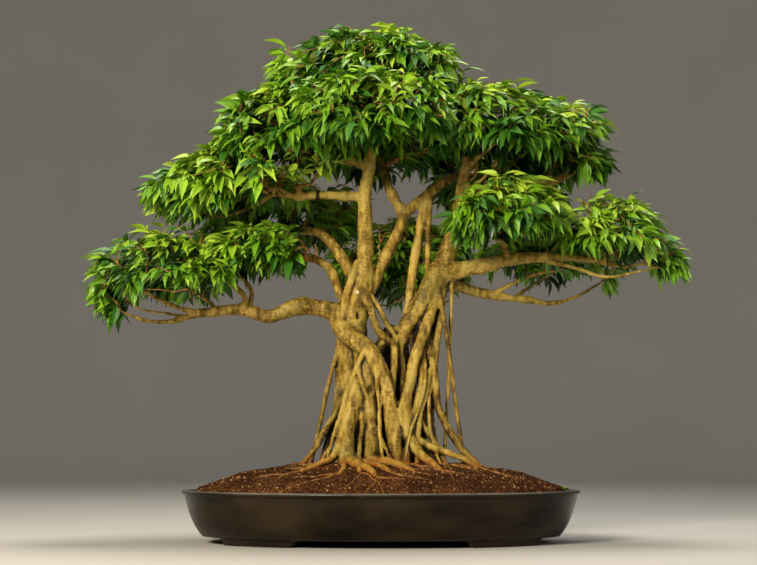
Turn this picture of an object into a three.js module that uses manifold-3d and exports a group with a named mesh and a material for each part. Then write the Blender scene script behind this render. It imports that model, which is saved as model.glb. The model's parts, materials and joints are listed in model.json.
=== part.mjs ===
// A banyan-style weeping fig bonsai in a shallow oval stoneware pot.
// Millimetres, +Z up, +X to the viewer's right, +Y away from the viewer.
// The origin is under the middle of the pot, on the surface that its feet stand on.
import * as THREE from "three";
import { mergeVertices } from "three/addons/utils/BufferGeometryUtils.js";
import Module from "manifold-3d";

const wasm = await Module();
wasm.setup();
const { degToRad, lerp } = THREE.MathUtils;

// Driving dimensions

const GAP = 0.3; // between pieces that touch
const GRID = 0.01; // that corners lie on
const SAME_PLACE = 1e-4; // corners nearer than this are one
const POT = {
  length: 688,
  depth: 500,
  height: 90,
  base: 618, // length of the underside
  baseRound: 14, // from the base's edge in to its flat
  baseRise: 16, // height of that round
  belly: 0.72, // how far the wall stands out above half height, as a share of the way from base to lip
  bellyRise: 8, // above half height
  wall: 15,
  floor: 15,
  floorRound: 16, // from the foot of the inner wall in to the flat floor
  floorRise: 12, // height of that round
  draft: 2, // by which the inner wall leans out above it
  lipHeight: 7,
  lipDepth: 7,
  lipRound: 3,
  lipSlope: 1, // by which the lip's underside rises outwards and its top falls inwards
  lipFoot: 4, // from the lip's underside down to where the inner wall thickens
  footHeight: 12,
  footWidth: 42,
  footInset: 4, // from the base's edge
  footSunk: 2, // into the base
  footSpread: 17, // half the angle that a foot covers, in degrees
  footAngle: 45, // from the long axis to the middle of a foot, in degrees
  segments: 32,
  footSegments: 4,
};
const SOIL = {
  clear: 4, // from the pot's wall at the surface
  play: 2, // more than that lower down
  edge: 83, // height where it meets the wall
  brim: 94, // height just inside the wall
  brimInset: 14,
  plateau: 135, // the ground under the trunk
  plateauShare: 0.44, // half-length of the flat top, as a share of the pot's
  bend: 0.45, // where the slope steepens, as a share of the way from the flat top to the rim
  bendFall: 0.38, // share of its height that it has lost there
};
const ROOT_FOOT = 122; // where roots end, under the ground's surface, to be cut off by it
const LIMB = {
  step: 66, // longest step along a limb
  probeStep: 5, // between the places along it that others keep clear of
  stoutSides: 7,
  slimSides: 5,
  stout: 14, // radius from which a limb has the more sides
  stemSides: 7, // of a trunk stem
  ribs: 3, // round a trunk stem
  flute: 0.06, // height of those ribs, as a share of the radius
};
const TWIG = {
  sides: 3,
  hub: 5.2, // radius where the twigs of a mass part
  thinnest: 2.8,
  taper: 0.66, // from a twig to one that it carries
  tipTaper: 0.8, // along a twig
  clear: 1.6, // from wood that it doesn't grow from
  clearShare: 1.1, // of that wood's radius
  probes: 10, // places along it that are tested
  forks: [0.5, 0.8], // shares of a twig's length at which others may leave it
};
const LEAF = {
  length: 88,
  width: 41,
  thick: 1.8,
  widest: 0.42, // share of its length
  sunk: 0.8, // of its root in the twig
  perTwig: 6,
  stretch: 0.7, // share of a twig that its leaves stand along, back from the tip
  spread: [1, 1.4], // turn from the twig to the side, in radians
  roll: 0.7, // most turn about its own length, to and fro, in radians
  droop: 56, // below level half way up a mass, in degrees
  lift: 36, // how much less that is at the top
  sway: 22, // most change in droop, up and down, in degrees
  probes: 5, // places along it that are tested
  tries: 10,
  swayMore: 3, // by each try, in degrees
  turnMore: 0.1, // by each try, in radians
  shrink: 0.4, // share of its size that it has lost by the last try
};
const MASS = {
  reach: 1.02, // how far its own space goes, as a share of its dome
  apart: 0.02, // share by which a place is deeper in it than in any other
  lowest: -0.45, // height in its dome at which twigs start, as a share of its half-height
  firstTwig: 0.75, // of a twig's share of the dome, below the lowest one
  rimShell: 0.66, // share of the dome that twigs reach at its rim
  topShell: 0.95, // and at its top
  shellSway: 0.04,
  hubShare: 0.6, // of the way from the bough's tip to the middle
  stemBend: 12, // length of the stem that runs on straight from the bough
  stemShare: 0.94, // of the bough's radius
  stemForks: 3,
};
const SEED = 855;
const GOLDEN_ANGLE = Math.PI * (3 - Math.sqrt(5));
const ovalShare = POT.depth / POT.length;

// A limb's radius at its foot and at its tip, and the stations that its middle line runs through.
const limb = (thick, thin, ...line) => ({ thick, thin, line });

// Trunk stems and the roots fused to them make one solid.
const TRUNK_STEMS = [
  limb(18, 28, [-52, 20, 118], [-55, 14, 230], [-53, 5, 372]),
  limb(28, 14, [-53, 4, 366], [-46, 0, 414], [-34, 0, 456], [-29, 0, 488]),
  limb(17, 14, [-8, 32, 118], [-12, 25, 230], [-17, 16, 298], [6, 8, 346], [24, 4, 372]),
  limb(16, 13, [46, 26, 118], [45, 18, 240], [36, 6, 345]),
  limb(12, 12, [74, 14, 118], [74, 8, 250], [80, 4, 340], [90, 0, 424]),
  limb(14, 21, [30, 2, 338], [52, -2, 384], [78, -4, 424], [108, -1, 476]),
].map((stem) => ({ ...stem, sides: LIMB.stemSides, flute: LIMB.flute }));
// Roots that came down as straps and grew together with the stems, left to right across the front.
const FUSED_ROOTS = [
  limb(7, 5, [-66, -4, 250], [-95, -30, 194], [-113, -38, 162], [-140, -48, 128]),
  limb(7, 4.5, [-44, -42, 242], [-69, -66, 180], [-104, -94, 136], [-138, -112, 122]),
  limb(10, 15, [-38, -16, 338], [-36, -30, 306], [-43, -42, 252], [-42, -44, 232]),
  limb(14, 16, [-44, -42, 246], [-54, -54, 214], [-60, -62, 178], [-56, -70, 122]),
  limb(12, 4.5, [-56, -72, 142], [-36, -96, 137], [-12, -124, 130], [10, -148, 119]),
  limb(7, 9, [-36, -40, 240], [-21, -48, 206], [-20, -66, 120]),
  limb(8, 4.5, [-18, -62, 143], [8, -84, 139], [30, -104, 133], [54, -126, 124]),
  limb(13, 13, [-76, -4, 388], [-62, -20, 362], [-17, -38, 324], [7, -45, 270], [18, -51, 212]),
  limb(13, 14, [17, -50, 224], [22, -57, 180], [28, -64, 120]),
  limb(6, 7, [-40, -6, 488], [-50, -16, 460], [-60, -19, 430], [-66, -16, 402]),
  limb(7.5, 7, [-32, -10, 432], [-18, -22, 404], [-4, -27, 364], [24, -16, 342]),
  limb(5, 5, [-24, -4, 436], [-1, -13, 400], [14, -17, 370], [28, -12, 350]),
  limb(7, 7, [24, -12, 350], [21, -31, 288], [17, -40, 252]),
  limb(9, 10, [100, -10, 430], [71, -33, 352], [50, -45, 274], [40, -50, 214]),
  limb(13, 5, [41, -46, 222], [47, -56, 184], [77, -92, 144], [102, -130, 121]),
  limb(6, 8, [72, -20, 348], [70, -36, 282], [56, -50, 208], [42, -62, 120]),
  limb(8, 7, [68, -4, 390], [84, -19, 333], [95, -27, 264], [99, -30, 232]),
  limb(7, 6.5, [98, -30, 238], [113, -34, 200], [136, -40, 164], [172, -48, 126]),
  limb(8, 6, [108, -2, 440], [101, -10, 378], [92, -22, 306]),
  limb(7, 5, [50, -50, 188], [76, -58, 168], [138, -66, 145], [174, -70, 125]),
];
// Roots round the back, evenly turned about the trunk's foot: how far out they are at each height.
const BACK_ROOTS = {
  count: 6,
  from: 12, // degrees from +X
  to: 168,
  middle: [0, 10],
  thick: 14,
  thin: 6,
  stations: [[20, 270], [53, 184], [118, ROOT_FOOT]],
};
// Each bough is one limb that starts inside the piece it grows from and ends in its own mass of leaves.
const BOUGHS = {
  leader: limb(15.5, 8, [-30, 0, 456], [-27, -2, 525], [-28, -4, 604], [-20, -4, 655], [-12, 6, 768]),
  second_stem: limb(
    12,
    7,
    ...[[-22, 4, 434], [-6, 9, 466], [12, 16, 505], [38, 28, 570], [14, 42, 622], [0, 102, 682]],
  ),
  cross_bough: limb(10, 7, [36, 28, 572], [72, 22, 600], [120, 20, 636], [160, 84, 652]),
  right_riser: limb(17, 8, [104, -1, 466], [129, 4, 540], [140, -2, 606], [150, -28, 668]),
  lower_right_bough: limb(17, 7, [92, -2, 462], [166, -6, 477], [244, -10, 492], [338, -2, 496]),
  right_outer_bough: limb(8, 6, [136, 2, 584], [192, 14, 599], [246, 20, 613], [284, 14, 628]),
  small_riser: limb(6, 4.5, [224, -10, 488], [214, -22, 512], [209, -38, 528]),
  under_bough: limb(12, 6, [100, 4, 456], [158, 40, 440], [234, 64, 428], [272, 76, 426]),
  lower_left_bough: limb(
    18,
    7.5,
    ...[[-52, -3, 392], [-138, -12, 408], [-198, -16, 390], [-236, -17, 401], [-328, -20, 394]],
  ),
  left_rear_bough: limb(
    10,
    7.5,
    ...[[-60, 6, 404], [-76, 14, 446], [-92, 21, 478], [-116, 24, 494], [-164, 18, 500]],
  ),
  back_left_bough: limb(12, 6.5, [-42, 12, 452], [-72, 36, 502], [-104, 52, 540], [-154, 112, 556]),
  mid_left_bough: limb(9, 6, [-32, -4, 600], [-116, -12, 603], [-150, -17, 599], [-184, -21, 612]),
  upper_left_bough: limb(9, 6.5, [-20, -4, 652], [-56, 4, 668], [-116, 0, 680]),
  front_bough: limb(8, 6, [-18, -2, 672], [-12, -40, 694], [-8, -72, 702]),
  back_centre_bough: limb(13, 8, [56, 4, 400], [62, 76, 424], [60, 116, 438]),
};
// Hanging roots stand free of the trunk between a bough and the ground, or between two boughs.
const HANGING_ROOTS = {
  left_hanging_root: limb(4.4, 4, [-70, -4, 352], [-91, -10, 273], [-106, -14, 203], [-126, -18, 112]),
  right_hanging_root: limb(4.4, 4, [98, -14, 440], [110, -27, 380], [129, -31, 236], [146, -36, 112]),
  thin_hanging_root: limb(3.6, 3.2, [124, -2, 466], [121, -6, 367], [116, -4, 262], [108, -2, 112]),
  prop_root: limb(8, 8.4, [80, 22, 602], [69, 20, 548], [56, 15, 470], [47, 4, 398]),
  thin_prop_root: limb(5.5, 5, [88, 20, 606], [83, 14, 534], [82, 2, 456]),
};
// Each mass fills a dome of its own: the bough that carries it, its middle and its half-sizes.
const MASSES = {
  apex_leaves: { bough: "leader", middle: [-16, 0, 798], half: [208, 180, 106], twigs: 9 },
  upper_left_leaves: { bough: "upper_left_bough", middle: [-172, -36, 710], half: [153, 155, 95], twigs: 6 },
  upper_front_leaves: { bough: "front_bough", middle: [-10, -166, 722], half: [160, 122, 80], twigs: 5 },
  mid_left_leaves: { bough: "mid_left_bough", middle: [-255, -20, 618], half: [165, 165, 82], twigs: 6 },
  lower_left_leaves: { bough: "lower_left_bough", middle: [-372, -24, 456], half: [168, 160, 92], twigs: 6 },
  left_inner_leaves: { bough: "left_rear_bough", middle: [-205, -16, 494], half: [122, 135, 64], twigs: 4 },
  back_left_leaves: { bough: "back_left_bough", middle: [-180, 178, 575], half: [180, 112, 100], twigs: 5 },
  upper_right_leaves: { bough: "right_riser", middle: [190, -62, 715], half: [130, 150, 95], twigs: 5 },
  right_outer_leaves: { bough: "right_outer_bough", middle: [300, 12, 685], half: [120, 155, 100], twigs: 5 },
  right_inner_leaves: { bough: "small_riser", middle: [208, -96, 562], half: [122, 112, 72], twigs: 4 },
  lower_right_leaves: { bough: "lower_right_bough", middle: [412, -6, 516], half: [140, 155, 92], twigs: 6 },
  under_right_leaves: { bough: "under_bough", middle: [300, 138, 500], half: [145, 112, 66], twigs: 4 },
  back_right_leaves: { bough: "cross_bough", middle: [210, 174, 640], half: [150, 112, 95], twigs: 4 },
  back_top_leaves: { bough: "second_stem", middle: [6, 174, 715], half: [170, 112, 95], twigs: 4 },
  back_centre_leaves: { bough: "back_centre_bough", middle: [40, 178, 500], half: [170, 108, 100], twigs: 5 },
};

// Materials

const finish = (colour, roughness) =>
  new THREE.MeshStandardMaterial({ color: colour, roughness, metalness: 0, flatShading: true });
const MATERIALS = {
  stoneware: finish("#2a2018", 0.4),
  soil: finish("#4c2f1a", 0.95),
  bark: finish("#a5803a", 0.7),
  foliage: finish("#4f8a20", 0.45),
};

// Solids

// A closed mesh as a solid that can be joined and cut.
function solidOf(geometry) {
  const bare = geometry.clone();
  for (const name of Object.keys(bare.attributes)) if (name !== "position") bare.deleteAttribute(name);
  const merged = mergeVertices(bare, SAME_PLACE);
  const corners = merged.index.array;
  const kept = [];
  for (let i = 0; i < corners.length; i += 3) {
    const [a, b, c] = [corners[i], corners[i + 1], corners[i + 2]];
    if (a !== b && b !== c && a !== c) kept.push(a, b, c);
  }
  const vertProperties = new Float32Array(merged.attributes.position.array);
  return new wasm.Manifold(new wasm.Mesh({ numProp: 3, vertProperties, triVerts: new Uint32Array(kept) }));
}

const joined = (solids) => solids.reduce((whole, piece) => whole.add(piece));

// The largest body of a solid: fusing can leave scraps, and sealed hollows that are then filled.
function largestBody(solid) {
  return solid.decompose().reduce((best, body) => (body.volume() > best.volume() ? body : best));
}

function geometryOf(solid) {
  const made = solid.getMesh();
  const geometry = new THREE.BufferGeometry();
  geometry.setAttribute("position", new THREE.BufferAttribute(new Float32Array(made.vertProperties), 3));
  geometry.setIndex(new THREE.BufferAttribute(new Uint32Array(made.triVerts), 1));
  return geometry;
}

// A named mesh, with its corners on a fine grid so that no two of them are nearly in one place.
function meshOf(name, solid, material) {
  const snapped = geometryOf(solid);
  const corners = snapped.attributes.position.array;
  corners.forEach((v, i) => (corners[i] = Math.round(v / GRID) * GRID));
  const geometry = geometryOf(solidOf(snapped));
  geometry.computeVertexNormals();
  const mesh = new THREE.Mesh(geometry, material);
  mesh.name = name;
  return mesh;
}

// A round profile in [radius, height] pairs, turned about the pot's upright axis and pressed to its oval.
function ovalSolid(profile) {
  const turned = new THREE.LatheGeometry(profile.map(([r, z]) => new THREE.Vector2(r, z)), POT.segments);
  turned.rotateX(Math.PI / 2);
  turned.scale(1, ovalShare, 1);
  return solidOf(turned);
}

const limbCurve = (line) =>
  new THREE.CatmullRomCurve3(line.map((station) => new THREE.Vector3(...station)), false, "centripetal");

// A limb that tapers along a smooth curve through its stations, closed by flat ends.
// grow makes it thicker and longer all round, to cut a clear seat for it in a neighbour.
function limbSolid({ line, thick, thin, sides, flute = 0 }, grow = 0) {
  const around = sides ?? (Math.max(thick, thin) > LIMB.stout ? LIMB.stoutSides : LIMB.slimSides);
  const curve = limbCurve(line);
  const steps = Math.max(1, Math.ceil(curve.getLength() / LIMB.step));
  const { normals, binormals, tangents } = curve.computeFrenetFrames(steps);
  const positions = [];
  const index = [];
  for (let i = 0; i <= steps; i++) {
    const end = i === 0 ? -grow : i === steps ? grow : 0;
    const centre = curve.getPointAt(i / steps).addScaledVector(tangents[i], end);
    for (let k = 0; k < around; k++) {
      const turn = (2 * Math.PI * k) / around;
      const ribbed = 1 + flute * Math.cos(LIMB.ribs * turn);
      const radius = lerp(thick, thin, i / steps) * ribbed + grow;
      const rim = centre
        .clone()
        .addScaledVector(normals[i], radius * Math.cos(turn))
        .addScaledVector(binormals[i], radius * Math.sin(turn));
      positions.push(...rim.toArray());
      const next = (k + 1) % around;
      const [a, b] = [i * around + k, i * around + next];
      if (i < steps) index.push(a, b, a + around, b, b + around, a + around);
    }
  }
  const last = steps * around;
  for (let k = 1; k < around - 1; k++) index.push(0, k + 1, k, last, last + k, last + k + 1);
  const geometry = new THREE.BufferGeometry();
  geometry.setAttribute("position", new THREE.Float32BufferAttribute(positions, 3));
  geometry.setIndex(index);
  return solidOf(geometry);
}

// Pot and soil

// One foot: a stretch of an oval ring under the pot's edge.
function footSolid(middle) {
  const spread = degToRad(POT.footSpread);
  const outer = POT.base / 2 - POT.footInset;
  const inner = outer - POT.footWidth;
  const outline = new THREE.Shape();
  outline.absellipse(0, 0, outer, outer * ovalShare, middle - spread, middle + spread, false);
  outline.absellipse(0, 0, inner, inner * ovalShare, middle + spread, middle - spread, true);
  outline.closePath();
  const size = { depth: POT.footHeight + POT.footSunk, bevelEnabled: false, curveSegments: POT.footSegments };
  return solidOf(new THREE.ExtrudeGeometry(outline, size));
}

function potSolid() {
  const [rim, base] = [POT.length / 2, POT.base / 2];
  const [low, lip] = [POT.footHeight, POT.height - POT.lipHeight];
  const side = rim - POT.lipDepth;
  const [inside, floor] = [base - POT.wall, low + POT.floor];
  const body = ovalSolid([
    [0, low],
    [base - POT.baseRound, low],
    [base + POT.footInset, low + POT.baseRise],
    [lerp(base, side, POT.belly), (low + lip) / 2 + POT.bellyRise],
    [side, lip],
    [rim, lip + POT.lipSlope],
    [rim - POT.lipRound, POT.height],
    [rim - POT.wall, POT.height - POT.lipSlope],
    [rim - POT.wall - POT.lipRound, lip - POT.lipFoot],
    [inside + POT.draft, floor + POT.floorRise],
    [inside - POT.floorRound, floor],
    [0, floor],
  ]);
  const angle = degToRad(POT.footAngle);
  const feet = [angle, Math.PI - angle, Math.PI + angle, 2 * Math.PI - angle].map(footSolid);
  return joined([body, ...feet]);
}

// The soil fills the pot up to a mound with a flat top; grow lifts its surface to cut the roots clear of it.
function soilSolid(grow = 0) {
  const rim = POT.length / 2;
  const [inside, floor] = [POT.base / 2 - POT.wall, POT.footHeight + POT.floor];
  const plateau = rim * SOIL.plateauShare;
  const wall = rim - POT.wall;
  return ovalSolid([
    [0, floor + GAP],
    [inside - POT.floorRound - SOIL.play, floor + GAP],
    [inside, floor + POT.floorRise + SOIL.play],
    [wall - SOIL.clear - SOIL.play, SOIL.edge - POT.lipHeight],
    [wall - SOIL.clear, SOIL.edge + grow],
    [wall - SOIL.brimInset, SOIL.brim + grow],
    [lerp(plateau, rim, SOIL.bend), lerp(SOIL.plateau, SOIL.brim, SOIL.bendFall) + grow],
    [plateau, SOIL.plateau + grow],
    [0, SOIL.plateau + grow],
  ]);
}

// Trunk, boughs and hanging roots

function backRoots() {
  const { count, from, to, middle, thick, thin, stations } = BACK_ROOTS;
  return Array.from({ length: count }, (_, i) => {
    const turn = degToRad(lerp(from, to, i / (count - 1)));
    const line = stations.map(([reach, z]) => [
      middle[0] + reach * Math.cos(turn),
      middle[1] + reach * Math.sin(turn),
      z,
    ]);
    return { thick, thin, line };
  });
}

const trunkLimbs = [...TRUNK_STEMS, ...FUSED_ROOTS, ...backRoots()];
const trunkSolid = (grow = 0) => joined(trunkLimbs.map((limb) => limbSolid(limb, grow)));

const ground = soilSolid(GAP);
const trunk = largestBody(trunkSolid().subtract(ground));

// Boughs and hanging roots, each cut clear of the ground and of what was made before it.
const limbs = { ...BOUGHS, ...HANGING_ROOTS };
const limbSolids = {};
let wood = joined([ground, trunkSolid(GAP)]);
for (const [name, limb] of Object.entries(limbs)) {
  limbSolids[name] = largestBody(limbSolid(limb).subtract(wood));
  wood = wood.add(limbSolid(limb, GAP));
}

// Masses of leaves

// Seeded random numbers from 0 to 1, the same on every run.
function seededRandom(seed) {
  let state = seed >>> 0;
  return () => {
    state = (state + 0x6d2b79f5) >>> 0;
    let t = Math.imul(state ^ (state >>> 15), 1 | state);
    t = (t + Math.imul(t ^ (t >>> 7), 61 | t)) ^ t;
    return ((t ^ (t >>> 14)) >>> 0) / 2 ** 32;
  };
}

const massList = Object.entries(MASSES).map(([name, mass], order) => ({
  name,
  ...mass,
  seed: order + 1,
  middle: new THREE.Vector3(...mass.middle),
  half: new THREE.Vector3(...mass.half),
}));

// How far out a point lies in a mass's dome: 0 in the middle, 1 on its skin.
const depthIn = (mass, point) => point.clone().sub(mass.middle).divide(mass.half).length();

// A point is in a mass's own space if it is in its dome and deeper there than in any other.
function ownsPoint(mass, point) {
  const depth = depthIn(mass, point);
  const deepest = (other) => other === mass || depthIn(other, point) > depth + MASS.apart;
  return depth < MASS.reach && massList.every(deepest);
}

// Points along every limb, with the limb's radius there, for keeping leaves off the wood.
const woodPoints = [...trunkLimbs, ...Object.values(limbs)].flatMap(({ line, thick, thin }) => {
  const curve = limbCurve(line);
  const count = Math.ceil(curve.getLength() / LIMB.probeStep);
  return curve.getSpacedPoints(count).map((at, i) => ({ at, radius: lerp(thick, thin, i / count) }));
});
const clearOfWood = (point) =>
  woodPoints.every(({ at, radius }) => at.distanceTo(point) > radius * TWIG.clearShare + TWIG.clear);
const isFree = (mass) => (point) => ownsPoint(mass, point) && clearOfWood(point);

const pointsBetween = (a, b, count) =>
  Array.from({ length: count + 1 }, (_, i) => a.clone().lerp(b, i / count));

// The six corners of a leaf: root, tip, two sides, a raised midrib and a keel.
function leafCorners(root, along, up, size) {
  const across = new THREE.Vector3().crossVectors(along, up);
  const at = (share, side, lift) =>
    root
      .clone()
      .addScaledVector(along, share * size * LEAF.length - LEAF.sunk)
      .addScaledVector(across, (side * size * LEAF.width) / 2)
      .addScaledVector(up, (lift * LEAF.thick) / 2);
  const { widest } = LEAF;
  return [at(0, 0, 0), at(1, 0, 0), at(widest, 1, 0), at(widest, -1, 0), at(widest, 0, 1), at(widest, 0, -1)];
}

// A leaf as a thin blade of eight faces.
const LEAF_FACES = [0, 2, 4, 2, 1, 4, 1, 3, 4, 3, 0, 4, 2, 0, 5, 1, 2, 5, 3, 1, 5, 0, 3, 5];
function leafSolid(corners) {
  const geometry = new THREE.BufferGeometry().setFromPoints(corners);
  geometry.setIndex(LEAF_FACES);
  return solidOf(geometry);
}

// Points spread evenly over a mass's dome, from under its rim up to its top.
function domePoints(mass, count, random) {
  return Array.from({ length: count }, (_, k) => {
    const height = lerp(MASS.lowest, 1, (k + MASS.firstTwig) / count);
    const around = Math.sqrt(1 - height * height);
    const turn = k * GOLDEN_ANGLE + mass.seed;
    const shell = lerp(MASS.rimShell, MASS.topShell, Math.max(0, height)) + MASS.shellSway * random();
    const onSkin = new THREE.Vector3(around * Math.cos(turn), around * Math.sin(turn), height);
    return onSkin.multiplyScalar(shell).multiply(mass.half).add(mass.middle);
  });
}

// The ends of a mass's twigs, nearest the hub first: as close a spread as gives enough of them in its space.
function twigTips(mass, hub, random) {
  let tips = [];
  for (let count = mass.twigs; tips.length < mass.twigs; count++) {
    tips = domePoints(mass, count, random).filter(isFree(mass));
  }
  return tips.sort((a, b) => a.distanceTo(hub) - b.distanceTo(hub));
}

// The direction of a leaf and of its upper face. Each try turns it a little further from its first place.
function leafPose(heading, side, height, tries, random) {
  const sway = () => random() - 0.5;
  const turn = heading + side * lerp(...LEAF.spread, random()) + sway() * LEAF.turnMore * tries;
  const level = LEAF.droop - LEAF.lift * height;
  const droop = degToRad(level + (LEAF.sway + LEAF.swayMore * tries) * sway());
  const along = new THREE.Vector3(Math.cos(turn), Math.sin(turn), 0).multiplyScalar(Math.cos(droop));
  along.z = -Math.sin(droop);
  const up = new THREE.Vector3(0, 0, 1).addScaledVector(along, -along.z).normalize();
  return { along, up: up.applyAxisAngle(along, LEAF.roll * sway()) };
}

// Leaves stand in turn to the left and right along a twig, and hang more the further down the dome they are.
// A leaf that would leave the mass's space, touch wood or crowd another is turned and shortened, or skipped.
function leavesOnTwig(mass, from, tip, random, others) {
  const placed = [];
  const outward = tip.clone().sub(mass.middle).divide(mass.half);
  const heading = Math.atan2(tip.y - from.y + outward.y, tip.x - from.x + outward.x);
  for (let j = 0; j < LEAF.perTwig; j++) {
    const root = from.clone().lerp(tip, 1 - (LEAF.stretch * j) / (LEAF.perTwig - 1));
    const side = j === 0 ? 0 : j % 2 ? 1 : -1;
    for (let tries = 0; tries < LEAF.tries; tries++) {
      const { along, up } = leafPose(heading, side, outward.z, tries, random);
      const corners = leafCorners(root, along, up, 1 - (LEAF.shrink * tries) / LEAF.tries);
      const probes = [...corners, ...pointsBetween(corners[0], corners[1], LEAF.probes).slice(1)];
      if (!probes.every(isFree(mass))) continue;
      const leaf = leafSolid(corners);
      if (![wood, ...others].every((other) => other.intersect(leaf).isEmpty())) continue;
      placed.push(leaf);
      others.push(leaf);
      break;
    }
  }
  return placed;
}

// A mass grows from one stem at its bough's tip: each twig leaves the nearest twig made before it.
function massSolid(mass) {
  const random = seededRandom(mass.seed * SEED);
  const bough = BOUGHS[mass.bough];
  const curve = limbCurve(bough.line);
  const boughTip = curve.getPoint(1).addScaledVector(curve.getTangent(1), GAP);
  const hub = boughTip.clone().lerp(mass.middle, MASS.hubShare);
  const stemBend = boughTip.clone().addScaledVector(curve.getTangent(1), MASS.stemBend);
  const stemLine = [boughTip, stemBend, hub].map((p) => p.toArray());
  const stemLimb = limb(bough.thin * MASS.stemShare, TWIG.hub, ...stemLine);
  const stem = limbSolid({ ...stemLimb, sides: LIMB.slimSides }).subtract(limbSolid(bough, GAP));
  const forks = pointsBetween(stemBend, hub, MASS.stemForks).map((at) => ({ at, radius: TWIG.hub }));
  const twigs = [stem];
  const shoots = [];
  for (const tip of twigTips(mass, hub, random)) {
    const open = (fork) => pointsBetween(fork.at, tip, TWIG.probes).slice(1).every(isFree(mass));
    const from = forks.toSorted((a, b) => a.at.distanceTo(tip) - b.at.distanceTo(tip)).find(open);
    if (!from) continue;
    const radius = Math.max(TWIG.thinnest, from.radius * TWIG.taper);
    const line = [from.at, tip].map((p) => p.toArray());
    twigs.push(limbSolid({ line, thick: radius, thin: radius * TWIG.tipTaper, sides: TWIG.sides }));
    shoots.push({ from: from.at, tip });
    for (const share of TWIG.forks) forks.push({ at: from.at.clone().lerp(tip, share), radius });
  }
  const leaves = [];
  shoots.forEach(({ from, tip }, i) => {
    const others = [...twigs.filter((_, k) => k !== i + 1), ...leaves];
    leaves.push(...leavesOnTwig(mass, from, tip, random, others));
  });
  return largestBody(joined([...twigs, ...leaves]));
}

// The whole plant

const plant = new THREE.Group();
plant.name = "fig_bonsai";
plant.add(meshOf("pot", potSolid(), MATERIALS.stoneware));
plant.add(meshOf("soil", soilSolid(), MATERIALS.soil));
plant.add(meshOf("trunk", trunk, MATERIALS.bark));
for (const [name, solid] of Object.entries(limbSolids)) plant.add(meshOf(name, solid, MATERIALS.bark));
for (const mass of massList) plant.add(meshOf(mass.name, massSolid(mass), MATERIALS.foliage));

export default plant;
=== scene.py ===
"""A weeping fig grown as a banyan-style bonsai in an oval stoneware pot, dressed around its solids."""

import json
import math
import random

import bpy
import numpy as np
from bpy.props import FloatProperty, FloatVectorProperty, IntProperty, PointerProperty
from bpy.types import Operator, Panel, PropertyGroup
from mathutils import Matrix, Vector, kdtree, noise
from mathutils.bvhtree import BVHTree

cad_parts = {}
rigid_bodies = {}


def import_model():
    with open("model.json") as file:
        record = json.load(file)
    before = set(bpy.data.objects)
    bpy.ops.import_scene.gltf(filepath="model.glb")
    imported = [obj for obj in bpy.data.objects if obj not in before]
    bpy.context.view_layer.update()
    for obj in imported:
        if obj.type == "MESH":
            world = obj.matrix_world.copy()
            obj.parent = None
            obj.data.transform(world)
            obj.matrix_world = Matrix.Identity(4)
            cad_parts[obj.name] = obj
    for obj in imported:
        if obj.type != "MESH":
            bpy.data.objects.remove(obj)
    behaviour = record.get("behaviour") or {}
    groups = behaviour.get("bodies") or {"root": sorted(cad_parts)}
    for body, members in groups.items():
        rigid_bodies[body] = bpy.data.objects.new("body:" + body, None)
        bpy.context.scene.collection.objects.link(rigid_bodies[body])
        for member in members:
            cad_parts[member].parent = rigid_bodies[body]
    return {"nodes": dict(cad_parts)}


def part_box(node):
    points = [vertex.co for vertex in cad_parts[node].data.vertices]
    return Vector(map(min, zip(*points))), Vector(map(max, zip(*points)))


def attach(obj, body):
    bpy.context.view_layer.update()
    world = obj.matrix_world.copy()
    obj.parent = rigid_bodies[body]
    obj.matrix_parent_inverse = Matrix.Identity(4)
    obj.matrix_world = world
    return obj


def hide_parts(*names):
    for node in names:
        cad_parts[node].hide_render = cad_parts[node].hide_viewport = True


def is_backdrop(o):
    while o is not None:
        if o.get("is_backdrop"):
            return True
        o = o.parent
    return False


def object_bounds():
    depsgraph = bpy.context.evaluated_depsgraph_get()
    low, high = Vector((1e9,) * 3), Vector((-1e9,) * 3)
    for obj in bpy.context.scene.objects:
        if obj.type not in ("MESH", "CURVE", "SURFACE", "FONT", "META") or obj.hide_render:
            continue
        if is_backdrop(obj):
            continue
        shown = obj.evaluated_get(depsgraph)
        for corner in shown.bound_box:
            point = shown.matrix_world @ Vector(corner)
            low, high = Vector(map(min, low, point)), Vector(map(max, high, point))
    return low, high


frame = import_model()
SOLIDS_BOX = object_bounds()

bl_info = {
    "name": "Fig bonsai",
    "version": (1, 0, 0),
    "blender": (4, 5, 0),
    "location": "View3D > Sidebar > Fig bonsai",
    "description": "Pot, soil, fused roots, boughs and leaves of a weeping fig bonsai",
    "category": "Object",
}

MM = 0.001
UP = Vector((0, 0, 1))
GOLDEN_ANGLE = math.pi * (3 - math.sqrt(5))
POT_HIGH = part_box("pot")[1]
SOIL_LOW, SOIL_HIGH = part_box("soil")
MASS_NAMES = sorted(name for name in frame["nodes"] if name.endswith("_leaves"))
WOOD_NAMES = sorted(set(frame["nodes"]) - set(MASS_NAMES) - {"pot", "soil"})


def linear(code):
    """An sRGB hex colour as the linear values that the shaders take."""
    shares = [int(code[i:i + 2], 16) / 255 for i in (1, 3, 5)]
    return tuple(s / 12.92 if s <= 0.04045 else ((s + 0.055) / 1.055) ** 2.4 for s in shares)


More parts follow.
